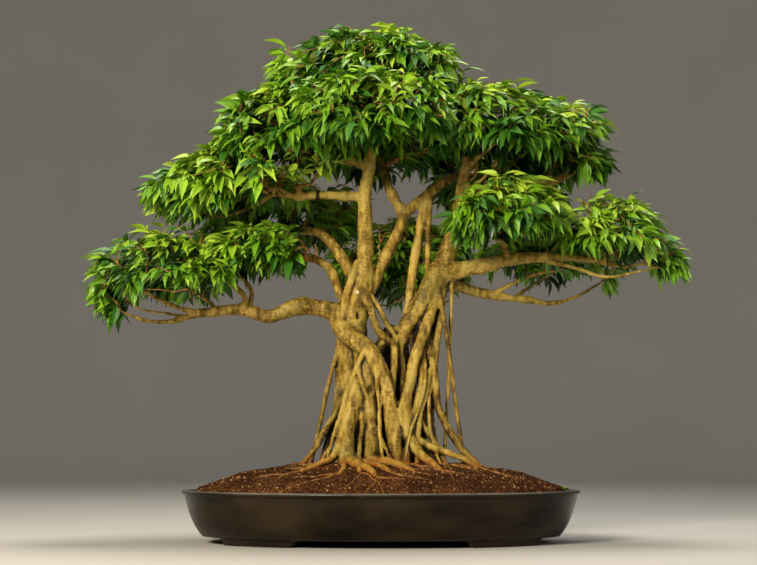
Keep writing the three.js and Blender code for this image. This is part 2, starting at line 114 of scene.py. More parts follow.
# Centre lines of the limbs, in millimetres: radius at the foot, radius at the tip and the points between.
# They follow the lines of the part's source, with more points along the roots.
TRUNK_STEMS = [
    (18, 28, [(-52, 20, 118), (-55, 14, 230), (-53, 5, 372)]),
    (28, 14, [(-53, 4, 366), (-46, 0, 414), (-34, 0, 456), (-29, 0, 488)]),
    (17, 14, [(-8, 32, 118), (-12, 25, 230), (-17, 16, 298), (6, 8, 346), (24, 4, 372)]),
    (16, 13, [(46, 26, 118), (45, 18, 240), (36, 6, 345)]),
    (12, 12, [(74, 14, 118), (74, 8, 250), (80, 4, 340), (90, 0, 424)]),
    (14, 21, [(30, 2, 338), (52, -2, 384), (78, -4, 424), (108, -1, 476)]),
]
# Roots that came down as straps and grew together with the stems, left to right across the front.
FUSED_ROOTS = [
    (7, 5, [(-66, -4, 250), (-78, -18, 222), (-95, -30, 194), (-113, -38, 162), (-140, -48, 128)]),
    (7, 4.5, [(-44, -42, 242), (-62, -56, 214), (-69, -66, 180), (-80, -78, 150), (-104, -94, 136),
              (-138, -112, 122)]),
    (10, 15, [(-38, -16, 338), (-36, -30, 306), (-42, -38, 276), (-43, -42, 252), (-42, -44, 232)]),
    (14, 16, [(-44, -42, 246), (-54, -54, 214), (-60, -62, 178), (-56, -70, 122)]),
    (13, 4, [(-56, -72, 142), (-48, -98, 138), (-34, -130, 132), (-16, -160, 124), (-4, -190, 106)]),
    (7, 9, [(-36, -40, 240), (-21, -48, 206), (-22, -58, 172), (-20, -66, 120)]),
    (9, 6, [(-18, -62, 143), (8, -86, 139), (30, -110, 134), (54, -138, 122)]),
    (17, 12, [(-76, -2, 388), (-62, -17, 362), (-40, -28, 346), (-20, -36, 328), (-4, -41, 298),
              (8, -44, 270), (14, -47, 244), (18, -51, 212), (22, -57, 180), (28, -64, 120)]),
    (6, 7, [(-40, -6, 488), (-50, -16, 460), (-60, -19, 430), (-66, -16, 402)]),
    (7.5, 7, [(-32, -10, 432), (-18, -22, 404), (-11, -26, 380), (-4, -27, 364), (8, -25, 351),
              (24, -16, 342)]),
    (5, 5, [(-24, -4, 436), (-1, -13, 400), (14, -17, 370), (28, -12, 350)]),
    (7, 7, [(24, -12, 350), (23, -24, 318), (21, -31, 288), (17, -40, 252)]),
    (9, 10, [(100, -10, 430), (84, -25, 388), (71, -33, 352), (58, -40, 315), (50, -45, 274),
             (42, -48, 244), (40, -50, 214)]),
    (13, 5, [(41, -46, 222), (47, -56, 184), (62, -72, 158), (77, -92, 144), (92, -114, 132),
             (102, -130, 121)]),
    (6, 8, [(72, -20, 348), (70, -36, 282), (65, -43, 248), (56, -50, 208), (48, -58, 172),
            (42, -62, 120)]),
    (8, 6.5, [(68, -4, 390), (84, -19, 333), (91, -24, 300), (95, -27, 264), (99, -30, 232),
              (113, -34, 200), (136, -40, 164), (172, -48, 126)]),
    (8, 6, [(108, -2, 440), (101, -10, 378), (97, -16, 346), (92, -22, 306)]),
    (7, 5, [(50, -50, 188), (76, -58, 168), (106, -63, 157), (138, -66, 145), (174, -70, 125)]),
]
# Straps, stems inside the trunk and forks of the front root that the solids do without.
THIN_STRAPS = [
    (4.8, 4.2, [(-36, -46, 244), (-32, -58, 202), (-36, -68, 170), (-38, -78, 116)]),
    (3.8, 3.4, [(-34, -44, 244), (-14, -56, 208), (-1, -66, 182), (12, -78, 152), (24, -92, 126)]),
    (4.2, 3.2, [(-30, -48, 326), (-46, -51, 290), (-59, -49, 258), (-67, -56, 228), (-77, -62, 196),
                (-87, -67, 160), (-96, -74, 124)]),
    (4.4, 3.8, [(-34, -38, 346), (-12, -48, 328), (4, -53, 296), (14, -56, 274), (20, -54, 248)]),
    (5, 4.5, [(20, -14, 347), (0, -24, 342), (-5, -31, 326), (0, -38, 306), (6, -42, 288)]),
    (4.6, 5, [(91, -24, 310), (82, -34, 286), (77, -40, 256), (69, -48, 230), (65, -54, 200),
              (60, -66, 116)]),
    (4.6, 4.4, [(62, -46, 222), (76, -42, 194), (91, -46, 174), (104, -50, 150), (114, -54, 122)]),
    (7, 8, [(34, -4, 344), (38, -10, 290), (36, -18, 236), (34, -30, 170), (34, -40, 118)]),
    (6, 7, [(54, -4, 372), (56, -8, 300), (52, -14, 240), (56, -22, 180), (60, -30, 116)]),
    (6, 7, [(80, -10, 400), (78, -16, 320), (72, -22, 250), (78, -30, 190), (88, -38, 150),
            (98, -44, 114)]),
    (5, 5, [(98, -16, 342), (92, -18, 290), (86, -22, 240), (88, -28, 200), (96, -34, 160),
            (104, -40, 114)]),
    (3.6, 3, [(-55, -8, 276), (-70, -40, 214), (-82, -52, 174), (-112, -68, 122)]),
    (3.6, 3, [(4, -46, 276), (-3, -62, 220), (-1, -74, 170), (6, -96, 124)]),
    (5, 6, [(-70, 2, 336), (-75, -1, 290), (-76, -4, 250), (-82, -10, 214), (-96, -20, 160),
            (-108, -26, 114)]),
    (7, 7, [(68, 4, 424), (65, 0, 372), (58, -2, 310), (52, -4, 244)]),
    (8, 8, [(14, 18, 372), (14, 18, 300), (10, 18, 220)]),
    (12, 14, [(-34, 12, 246), (-32, 6, 180), (-30, 2, 116)]),
    (14, 13, [(-30, -24, 342), (-24, -37, 290), (-20, -43, 236), (-15, -49, 180), (-10, -54, 116)]),
    (15, 12, [(-36, -10, 346), (-38, -6, 376), (-33, -4, 410), (-26, -4, 444), (-23, -2, 482)]),
    (8, 4.5, [(-46, -92, 140), (-26, -112, 138), (-4, -130, 134), (16, -150, 122)]),
    (6.5, 3.6, [(-52, -88, 140), (-62, -112, 135), (-62, -138, 129), (-72, -160, 116)]),
    (5, 3.4, [(-30, -134, 134), (-36, -152, 128), (-32, -172, 114)]),
    (10, 12, [(4, 4, 246), (6, -4, 180), (4, -14, 116)]),
    (3.4, 3, [(-20, -46, 328), (-10, -54, 300), (-6, -58, 262), (-2, -62, 222), (-1, -68, 176),
              (2, -82, 124)]),
    (3.6, 3.2, [(-24, -42, 330), (-38, -48, 304), (-33, -55, 274), (-24, -57, 246), (-19, -55, 220),
                (-22, -52, 196)]),
    (3.4, 3, [(64, -36, 330), (58, -47, 296), (46, -55, 262), (33, -59, 232), (36, -59, 204),
              (46, -54, 180)]),
    (3.2, 2.8, [(76, -32, 316), (75, -46, 270), (62, -58, 222), (50, -68, 190), (44, -78, 160),
                (40, -92, 124)]),
    (3.4, 3, [(88, -26, 292), (82, -40, 236), (84, -46, 196), (92, -56, 160), (106, -72, 122)]),
]
BOUGHS = {
    "leader": (15.5, 8, [(-30, 0, 456), (-27, -2, 525), (-28, -4, 604), (-20, -4, 655), (-12, 6, 768)]),
    "second_stem": (12, 7, [(-22, 4, 434), (-6, 9, 466), (12, 16, 505), (38, 28, 570), (14, 42, 622),
                            (0, 102, 682)]),
    "cross_bough": (10, 7, [(36, 28, 572), (72, 22, 600), (120, 20, 636), (160, 84, 652)]),
    "right_riser": (17, 8, [(104, -1, 466), (129, 4, 540), (140, -2, 606), (150, -28, 668)]),
    "lower_right_bough": (17, 7, [(92, -2, 462), (166, -6, 477), (244, -10, 492), (338, -2, 496)]),
    "right_outer_bough": (8, 6, [(136, 2, 584), (192, 14, 599), (246, 20, 613), (284, 14, 628)]),
    "small_riser": (6, 4.5, [(224, -10, 488), (214, -22, 512), (209, -38, 528)]),
    "under_bough": (12, 6, [(100, 4, 456), (158, 40, 440), (234, 64, 428), (272, 76, 426)]),
    "lower_left_bough": (18, 7.5, [(-52, -3, 392), (-138, -12, 408), (-198, -16, 390),
                                   (-236, -17, 401), (-328, -20, 394)]),
    "left_rear_bough": (10, 7.5, [(-60, 6, 404), (-76, 14, 446), (-92, 21, 478), (-116, 24, 494),
                                  (-164, 18, 500)]),
    "back_left_bough": (12, 6.5, [(-42, 12, 452), (-72, 36, 502), (-104, 52, 540), (-154, 112, 556)]),
    "mid_left_bough": (9, 6, [(-32, -4, 600), (-116, -12, 603), (-150, -17, 599), (-184, -21, 612)]),
    "upper_left_bough": (9, 6.5, [(-20, -4, 652), (-56, 4, 668), (-116, 0, 680)]),
    "front_bough": (8, 6, [(-18, -2, 672), (-12, -40, 694), (-8, -72, 702)]),
    "back_centre_bough": (13, 8, [(56, 4, 400), (62, 76, 424), (60, 116, 438)]),
}
HANGING_ROOTS = [
    (4.4, 4, [(-70, -4, 352), (-91, -10, 273), (-106, -14, 203), (-126, -18, 112)]),
    (4.4, 4, [(98, -14, 440), (110, -27, 380), (129, -31, 236), (146, -36, 112)]),
    (3.6, 3.2, [(124, -2, 466), (121, -6, 367), (116, -4, 262), (108, -2, 112)]),
    (8, 8.4, [(80, 22, 602), (69, 20, 548), (56, 15, 470), (47, 4, 398)]),
    (5.5, 5, [(88, 20, 606), (83, 14, 534), (82, 2, 456)]),
]
# Roots round the back, turned about the trunk's foot from one angle to another, in degrees and mm.
# Stations say how far out a root is at each height, kinds where a root stands in its share and how stout
# it is. The last row says how far a root strays, sways and spreads, and how its girth varies.
BACK_ROOTS = {
    "count": 6, "from": 12, "to": 168, "middle": (0, 10), "thick": 14, "thin": 7, "seed": 4,
    "stations": ((4, 322), (20, 270), (53, 184), (118, 122)), "kinds": ((0, 1), (0.5, 0.4)),
    "stray": 0.15, "sway": 6, "spread": (0.88, 1.06), "girth": (0.75, 1.1),
}
# Masses of leaves, as in the part's source: carrying bough, and the dome's middle and half-sizes in mm.
MASSES = {
    "apex_leaves": ("leader", (-16, 0, 798), (208, 180, 106)),
    "upper_left_leaves": ("upper_left_bough", (-172, -36, 710), (153, 155, 95)),
    "upper_front_leaves": ("front_bough", (-10, -166, 722), (160, 122, 80)),
    "mid_left_leaves": ("mid_left_bough", (-255, -20, 618), (165, 165, 82)),
    "lower_left_leaves": ("lower_left_bough", (-372, -24, 456), (168, 160, 92)),
    "left_inner_leaves": ("left_rear_bough", (-205, -16, 494), (122, 135, 64)),
    "back_left_leaves": ("back_left_bough", (-180, 178, 575), (180, 112, 100)),
    "upper_right_leaves": ("right_riser", (190, -62, 715), (130, 150, 95)),
    "right_outer_leaves": ("right_outer_bough", (300, 12, 685), (120, 155, 100)),
    "right_inner_leaves": ("small_riser", (208, -96, 562), (122, 112, 72)),
    "lower_right_leaves": ("lower_right_bough", (412, -6, 516), (140, 155, 92)),
    "under_right_leaves": ("under_bough", (300, 138, 500), (145, 112, 66)),
    "back_right_leaves": ("cross_bough", (210, 174, 640), (150, 112, 95)),
    "back_top_leaves": ("second_stem", (6, 174, 715), (170, 112, 95)),
    "back_centre_leaves": ("back_centre_bough", (40, 178, 500), (170, 108, 100)),
}
# Branches that the boughs fork into under the masses, where they show.
BRANCHES = {
    "mid_left_leaves": [
        (5, 2.8, [(-178, -20, 609), (-202, -23, 621), (-197, -31, 631), (-180, -38, 630)]),
        (4.4, 2.6, [(-136, -15, 602), (-147, -22, 616), (-124, -30, 620), (-112, -38, 634)]),
        (4, 2.4, [(-142, -18, 606), (-152, -14, 640), (-146, -10, 662)]),
        (4, 2.2, [(-182, -18, 608), (-225, -4, 584), (-283, 6, 568), (-330, 6, 580), (-366, 4, 592)]),
    ],
    "lower_left_leaves": [
        (5.6, 2.6, [(-320, -20, 395), (-345, -20, 386), (-362, -22, 381), (-401, -26, 381),
                    (-438, -30, 392)]),
        (5, 2.6, [(-316, -20, 396), (-340, -30, 401), (-364, -40, 409), (-396, -50, 424),
                  (-420, -54, 440)]),
        (3.2, 2, [(-340, -20, 389), (-380, -6, 397), (-414, 4, 402), (-440, 10, 414)]),
        (6, 3, [(-240, -17, 401), (-236, -26, 422), (-257, -36, 443), (-280, -44, 457),
                (-306, -50, 476)]),
        (4.6, 2.6, [(-230, -17, 400), (-226, -4, 434), (-241, 6, 457), (-262, 14, 478)]),
        (4.4, 2.4, [(-286, -18, 398), (-300, 10, 416), (-330, 40, 436), (-362, 66, 452)]),
    ],
    "upper_right_leaves": [
        (5, 2.8, [(146, -14, 640), (168, -32, 664), (200, -48, 690)]),
        (4.6, 2.6, [(140, -4, 612), (170, -20, 624), (196, -30, 652), (204, -36, 676)]),
        (4, 2.4, [(142, -6, 618), (166, -8, 640), (165, -24, 668)]),
    ],
    "right_outer_leaves": [
        (5, 2.6, [(272, 16, 624), (326, 8, 645), (334, 0, 672)]),
        (4, 2.4, [(250, 19, 614), (290, 12, 622), (330, 10, 638), (356, 12, 658)]),
        (4, 2.4, [(278, 15, 626), (300, 50, 650), (320, 80, 680)]),
    ],
    "right_inner_leaves": [
        (3.2, 2.2, [(212, -26, 517), (190, -50, 524), (174, -68, 530)]),
        (3.2, 2.2, [(214, -22, 513), (238, -54, 524), (254, -84, 540)]),
    ],
    "lower_right_leaves": [
        (6.8, 4, [(320, -4, 496), (363, -4, 490), (392, -8, 486)]),
        (4.6, 2.4, [(372, -5, 489), (424, -14, 477), (460, -22, 481), (486, -28, 473)]),
        (4.2, 2.2, [(286, -8, 489), (339, -26, 473), (387, -36, 457), (436, -40, 464), (476, -44, 474)]),
        (3.6, 2.2, [(363, -4, 490), (374, -18, 536), (369, -24, 564)]),
        (3.6, 2.2, [(390, -8, 486), (399, -24, 518), (394, -30, 536), (411, -34, 555)]),
        (3.6, 2.2, [(350, -3, 492), (380, 30, 502), (420, 60, 512)]),
    ],
    "under_right_leaves": [
        (5.4, 2.6, [(262, 74, 426), (302, 78, 420), (350, 80, 432), (392, 84, 456)]),
        (4.4, 2.4, [(234, 64, 428), (262, 90, 446), (296, 120, 470)]),
        (5, 2.6, [(196, 54, 433), (232, 50, 452), (266, 46, 467), (310, 40, 476)]),
    ],
}
# Where boughs show clear of leaves: from and to across, from and to upwards, and how far back, in mm.
SIGHTS = ((-205, -40, 590, 622, 0), (-70, 125, 560, 662, 20), (-128, -58, 436, 508, 20),
          (-142, -62, 486, 560, 44), (110, 372, 462, 500, 0), (300, 480, 440, 472, 40))


class PotSettings(PropertyGroup):
    """Sizes and colours of the oval pot."""

    wall: FloatProperty(name="Wall", description="Thickness of the wall", default=15 * MM, unit="LENGTH")
    lip: FloatProperty(name="Lip", description="Height of the rounded lip", default=7 * MM, unit="LENGTH")
    foot: FloatProperty(name="Foot", description="Height of the four feet", default=12 * MM, unit="LENGTH")
    clay: FloatVectorProperty(name="Clay", description="Body colour of the fired clay", subtype="COLOR",
                              default=linear("#0a0703"), min=0, max=1)
    worn: FloatVectorProperty(name="Worn", description="Colour of the rubbed patches", subtype="COLOR",
                              default=linear("#33281a"), min=0, max=1)


class SoilSettings(PropertyGroup):
    """Colours and grain of the soil."""

    grain: FloatProperty(name="Grain", description="Width of a soil grain", default=4.0 * MM, unit="LENGTH")
    density: FloatProperty(name="Density", description="Grains on a square metre", default=27000, min=0)
    earth: FloatVectorProperty(name="Earth", description="Colour of most grains", subtype="COLOR",
                               default=linear("#3c1f09"), min=0, max=1)
    grit: FloatVectorProperty(name="Grit", description="Colour of the pale grains", subtype="COLOR",
                              default=linear("#a5814f"), min=0, max=1)


class WoodSettings(PropertyGroup):
    """Relief and colours of the bark."""

    voxel: FloatProperty(name="Skin", description="Size of the faces that the fused skin is made of",
                         default=1.6 * MM, unit="LENGTH")
    relief: FloatProperty(name="Relief", description="Height of the largest swellings of the bark",
                          default=3.0 * MM, unit="LENGTH")
    pale: FloatVectorProperty(name="Pale", description="Colour of smooth young bark", subtype="COLOR",
                              default=linear("#b89c49"), min=0, max=1)
    tan: FloatVectorProperty(name="Tan", description="Main colour of the bark", subtype="COLOR",
                             default=linear("#866b24"), min=0, max=1)
    brown: FloatVectorProperty(name="Brown", description="Colour of old patches of bark", subtype="COLOR",
                               default=linear("#4c380f"), min=0, max=1)
    seed: IntProperty(name="Seed", description="Number that the tones of the strands start from", default=3)
    moss: FloatVectorProperty(name="Moss", description="Colour of the green bloom", subtype="COLOR",
                              default=linear("#736d2c"), min=0, max=1)


class CrownSettings(PropertyGroup):
    """Sizes and colours of twigs and leaves."""

    leaf: FloatProperty(name="Leaf", description="Length of a full-grown blade", default=37 * MM,
                        unit="LENGTH")
    bud: FloatProperty(name="Bud", description="Length of a bud", default=7 * MM, unit="LENGTH")
    spacing: FloatProperty(name="Spacing", description="Distance between shoots", default=28 * MM,
                           unit="LENGTH")
    leaves: IntProperty(name="Leaves", description="Leaves on each shoot", default=10, min=1)
    seed: IntProperty(name="Seed", description="Number that the growth starts from", default=7)
    # The leaf colours paint light and shade, chosen by each spray's painted light: young and bright for lit
    # leaves, where young is also the new leaf at a shoot's tip, then middle, deep and shade ever darker for
    # leaves in painted shade.
    young: FloatVectorProperty(name="Young", description="Colour of new leaves", subtype="COLOR",
                               default=linear("#a2bf3a"), min=0, max=1)
    bright: FloatVectorProperty(name="Bright", description="Colour of sunlit leaves", subtype="COLOR",
                                default=linear("#88b22a"), min=0, max=1)
    middle: FloatVectorProperty(name="Middle", description="Colour of most leaves", subtype="COLOR",
                                default=linear("#66961e"), min=0, max=1)
    # Cool paints a blue-green sky reflection on some sprays.
    cool: FloatVectorProperty(name="Cool", description="Colour of blue-green leaves", subtype="COLOR",
                              default=linear("#477a30"), min=0, max=1)
    deep: FloatVectorProperty(name="Deep", description="Colour of old leaves", subtype="COLOR",
                              default=linear("#31620f"), min=0, max=1)
    shade: FloatVectorProperty(name="Shade", description="Colour of inner leaves", subtype="COLOR",
                               default=linear("#18390a"), min=0, max=1)


# Small tools

def add(tree, kind, inputs=None, stops=None, **settings):
    """Adds a node with its settings, the values or links of its inputs and any stops of its colours."""
    made = tree.nodes.new(kind)
    for name, value in settings.items():
        setattr(made, name, value)
    for key, value in (inputs or {}).items():
        if isinstance(value, bpy.types.NodeSocket):
            tree.links.new(value, made.inputs[key])
        else:
            made.inputs[key].default_value = value
    for index, (place, colour) in enumerate(stops or []):
        elements = made.color_ramp.elements
        element = elements[index] if index < len(elements) else elements.new(place)
        element.position = place
        element.color = (*colour, 1)
    return made


def new_material(name):
    """An empty node material, its tree and its output node."""
    material = bpy.data.materials.new(name)
    material.use_nodes = True
    tree = material.node_tree
    tree.nodes.clear()
    return material, tree, tree.nodes.new("ShaderNodeOutputMaterial")


def per_metre(size):
    """The scale at which a pattern's features are about this size, given in metres."""
    return 1 / size


def mesh_object(name, vertices, faces, material=None):
    """A new smooth object at the origin from arrays of vertices, in metres, and faces."""
    mesh = bpy.data.meshes.new(name)
    mesh.from_pydata([tuple(v) for v in vertices], [], [tuple(f) for f in faces])
    mesh.validate()
    if material:
        mesh.materials.append(material)
    mesh.polygons.foreach_set("use_smooth", [True] * len(mesh.polygons))
    made = bpy.data.objects.new(name, mesh)
    bpy.context.scene.collection.objects.link(made)
    return made


def plain(obj):
    """Turns what an object's modifiers make into its own plain mesh."""
    depsgraph = bpy.context.evaluated_depsgraph_get()
    mesh = bpy.data.meshes.new_from_object(obj.evaluated_get(depsgraph), depsgraph=depsgraph)
    old = obj.data
    obj.modifiers.clear()
    obj.data = mesh
    mesh.name = obj.name
    bpy.data.meshes.remove(old)
    return obj


def node_tree(name, inputs):
    """A Geometry Nodes tree with these named inputs after the geometry, and its two end nodes."""
    tree = bpy.data.node_groups.new(name, "GeometryNodeTree")
    tree.interface.new_socket("Geometry", in_out="INPUT", socket_type="NodeSocketGeometry")
    for label, kind in inputs.items():
        tree.interface.new_socket(label, in_out="INPUT", socket_type=kind)
    tree.interface.new_socket("Geometry", in_out="OUTPUT", socket_type="NodeSocketGeometry")
    return tree, tree.nodes.new("NodeGroupInput"), tree.nodes.new("NodeGroupOutput")


def close_tree(tree, start, end, geometry):
    """Ends a Geometry Nodes tree: makes its copies real and gives them the material."""
    real = add(tree, "GeometryNodeRealizeInstances", {"Geometry": geometry})
    finished = add(tree, "GeometryNodeSetMaterial", {
        "Geometry": real.outputs["Geometry"], "Material": start.outputs["Material"]})
    tree.links.new(finished.outputs["Geometry"], end.inputs["Geometry"])
    return tree


def use_tree(obj, tree, values):
    """Puts a Geometry Nodes tree on an object with its inputs set by name, and makes the result plain."""
    modifier = obj.modifiers.new(tree.name, "NODES")
    modifier.node_group = tree
    for item in tree.interface.items_tree:
        if item.in_out == "INPUT" and item.name in values:
            modifier[item.identifier] = values[item.name]
    return plain(obj)


def keep(obj, slot, *nodes):
    """Makes a finished piece part of the plant's one body and hides the nodes it stands for; the slot is
    not used.
    """
    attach(obj, "root")
    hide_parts(*nodes)


def lathe_faces(rings, around):
    """Faces of a closed grid of rings that starts and ends in a single point."""
    faces = []
    for side in range(around):
        after = (side + 1) % around
        faces.append((0, 1 + after, 1 + side))
        for ring in range(rings - 1):
            low, high = 1 + ring * around, 1 + (ring + 1) * around
            faces.append((low + side, low + after, high + after, high + side))
        last = 1 + (rings - 1) * around
        faces.append((last + side, last + after, 1 + rings * around))
    return faces


# Pot

POT_SEGMENTS = 240
# The feet: the angle of their middles, half their spread and the slope at their sides, as angles about
# the pot's middle, their width, and how far in from the rim the wall's foot stands.
FOOT_ANGLE = math.radians(45)
FOOT_SPREAD = math.radians(17)
FOOT_SLOPE = math.radians(1.6)
FOOT_WIDTH = 42 * MM
BASE_INSET = 35 * MM


def stoneware_material(settings):
    """Unglazed dark stoneware, thrown and rubbed with oil: satin, with paler worn patches, fine grit and a
    painted highlight along the rim.
    """
    material, tree, output = new_material("dark_stoneware")
    place = add(tree, "ShaderNodeTexCoord").outputs["Object"]
    wide = add(tree, "ShaderNodeMapping", {"Vector": place, "Scale": (1, 1, 2.6)}).outputs["Vector"]
    patches = add(tree, "ShaderNodeTexNoise", {
        "Vector": wide, "Scale": per_metre(120 * MM), "Detail": 4, "Roughness": 0.5})
    speckle = add(tree, "ShaderNodeTexNoise", {"Vector": place, "Scale": per_metre(4 * MM), "Detail": 3})
    blend = add(tree, "ShaderNodeValToRGB", {"Fac": patches.outputs["Fac"]},
                stops=[(0.32, settings.clay), (0.74, settings.worn)])
    dark = add(tree, "ShaderNodeMix", {
        0: speckle.outputs["Fac"], 6: blend.outputs["Color"], 7: (*linear("#0c0804"), 1)},
        data_type="RGBA")
    tint = add(tree, "ShaderNodeMix", {0: 0.35, 6: blend.outputs["Color"], 7: dark.outputs[2]},
               data_type="RGBA")
    height = add(tree, "ShaderNodeSeparateXYZ", {0: place}).outputs["Z"]
    # Painted highlight: a pale grey along the rim's top edge, in patches like rubbed wear.
    edge = add(tree, "ShaderNodeMapRange", {
        "Value": height, "From Min": POT_HIGH.z - 3 * MM, "From Max": POT_HIGH.z - 1.5 * MM, "To Min": 0,
        "To Max": 0.8})
    rim_highlight = add(tree, "ShaderNodeMath", {0: edge.outputs["Result"], 1: patches.outputs["Fac"]},
                 operation="MULTIPLY")
    with_rim_highlight = add(tree, "ShaderNodeMix", {
        0: rim_highlight.outputs["Value"], 6: tint.outputs[2], 7: (*linear("#8a8882"), 1)}, data_type="RGBA")
    gloss = add(tree, "ShaderNodeMapRange", {
        "Value": patches.outputs["Fac"], "From Min": 0.3, "From Max": 0.75, "To Min": 0.18,
        "To Max": 0.45})
    bump = add(tree, "ShaderNodeBump", {
        "Height": speckle.outputs["Fac"], "Strength": 0.12, "Distance": 0.6 * MM})
    shader = add(tree, "ShaderNodeBsdfPrincipled", {
        "Base Color": with_rim_highlight.outputs[2], "Specular IOR Level": 0.16, "Roughness": gloss.outputs["Result"],
        "Normal": bump.outputs["Normal"]})
    tree.links.new(shader.outputs["BSDF"], output.inputs["Surface"])
    return material


def pot_profile(settings):
    """Inset from the rim, height and share of the foot's drop, from under the pot round to its floor."""
    height = POT_HIGH.z
    foot = settings.foot
    wall = settings.wall
    lip = settings.lip
    under_lip = 4 * MM
    outer = BASE_INSET + 4 * MM
    inner = outer + FOOT_WIDTH
    profile = [
        (inner, foot, 0),
        (inner - 2 * MM, foot, 0.9),
        (inner - 5 * MM, foot, 1),
        (outer + 4 * MM, foot, 1),
        (outer + 1 * MM, foot, 0.92),
        (outer, foot, 0.6),
        (outer - 1 * MM, foot, 0),
    ]
    rise = height - lip - foot
    for step in range(0, 15):
        share = step / 14
        slope = 0.45 * (1 - share) ** 3 + 0.55 * (1 - share)
        profile.append((under_lip + (BASE_INSET - under_lip) * slope, foot + rise * share, 0))
    for step in range(1, 10):
        turn = math.pi * step / 10
        reach = (under_lip + 0.5 * MM) * math.sin(turn) ** 0.6
        profile.append((under_lip - reach + 0.5 * MM, height - lip * (0.5 + 0.5 * math.cos(turn)), 0))
    profile += [
        (under_lip + 1 * MM, height, 0),
        (wall - 2 * MM, height - 0.2 * MM, 0),
        (wall, height - 2 * MM, 0),
        (wall + 1 * MM, height - 8 * MM, 0),
        (wall + 14 * MM, foot + wall + 20 * MM, 0),
        (wall + 30 * MM, foot + wall, 0),
    ]
    return profile


def foot_share(angle):
    """How far the underside drops at this angle: 1 in a foot, 0 between two feet."""
    from_foot = abs(abs(math.remainder(angle, math.pi)) - FOOT_ANGLE)
    share = min(1, max(0, (FOOT_SPREAD - from_foot) / FOOT_SLOPE))
    return share * share * (3 - 2 * share)


class FIG_OT_pot(Operator):
    """Makes the oval stoneware pot with its lip and four feet"""

    bl_idname = "fig.pot"
    bl_label = "Pot"

    def execute(self, context):
        settings = context.scene.fig_pot
        half_x, half_y = POT_HIGH.x, POT_HIGH.y
        profile = pot_profile(settings)
        vertices = [(0, 0, settings.foot)]
        for inset, height, drop in profile:
            for side in range(POT_SEGMENTS):
                angle = 2 * math.pi * side / POT_SEGMENTS
                vertices.append(((half_x - inset) * math.cos(angle), (half_y - inset) * math.sin(angle),
                                 height - settings.foot * drop * foot_share(angle)))
        vertices.append((0, 0, settings.foot + settings.wall))
        pot = mesh_object("stoneware_pot", vertices, lathe_faces(len(profile), POT_SEGMENTS),
                          stoneware_material(settings))
        keep(pot, "stoneware", "pot")
        return {"FINISHED"}


# Soil

SOIL_SEGMENTS = 200
SOIL_RINGS = 56
# How far the mound's foot stands in from its edge.
SOIL_DRAFT = 32 * MM
# The mound's slope as in the part's source: share of the way from the middle to the wall, and height in
# mm.
SOIL_SLOPE = ((0.0, 135), (0.45, 135), (0.73, 119.5), (0.97, 94), (1.0, 84))
# Lumps in the soil: width, height, and the layer of the noise that they are taken from. They fade out at
# the wall, over the sixth part of the way to it.
SOIL_LUMPS = ((70 * MM, 3.2 * MM, 0), (22 * MM, 1.6 * MM, 3))
LUMPS_FADE = 6
# How much a face must look upwards to bear grains, and the least and the most of a grain's three sizes.
GRAIN_UPWARD = 0.6
GRAIN_LEAST = (0.5, 0.45, 0.4)
GRAIN_MOST = (1.5, 1.25, 1.0)


def soil_height(x, y):
    """Height of the soil at a place: a level heart that falls in a slope to the pot's wall."""
    share = math.hypot(x / SOIL_HIGH.x, y / SOIL_HIGH.y)
    slope = np.interp(share, *zip(*SOIL_SLOPE)) * MM
    lumps = sum(noise.noise(Vector((x, y, layer)) * per_metre(width)) * height
                for width, height, layer in SOIL_LUMPS)
    return float(slope + lumps * min(1, LUMPS_FADE * (1 - share)))


def soil_material(name, colours, size, roughness=0.95):
    """Baked clay and bark crumbs: dull, reddish brown, no two grains quite alike."""
    material, tree, output = new_material(name)
    place = add(tree, "ShaderNodeTexCoord").outputs["Object"]
    grains = add(tree, "ShaderNodeTexVoronoi", {
        "Vector": place, "Scale": per_metre(size), "Randomness": 1.0})
    patches = add(tree, "ShaderNodeTexNoise", {"Vector": place, "Scale": per_metre(60 * MM), "Detail": 3})
    mixed = add(tree, "ShaderNodeMath", {0: grains.outputs["Color"], 1: patches.outputs["Fac"]},
                operation="ADD")
    halved = add(tree, "ShaderNodeMath", {0: mixed.outputs["Value"], 1: 0.5}, operation="MULTIPLY")
    ramp = add(tree, "ShaderNodeValToRGB", {"Fac": halved.outputs["Value"]},
               stops=[(0.2, colours[0]), (0.5, colours[1]), (0.8, colours[2])])
    bump = add(tree, "ShaderNodeBump", {
        "Height": grains.outputs["Distance"], "Strength": 0.7, "Distance": 0.5 * size})
    shader = add(tree, "ShaderNodeBsdfPrincipled", {
        "Base Color": ramp.outputs["Color"], "Roughness": roughness, "Specular IOR Level": 0.15,
        "Normal": bump.outputs["Normal"]})
    tree.links.new(shader.outputs["BSDF"], output.inputs["Surface"])
    return material


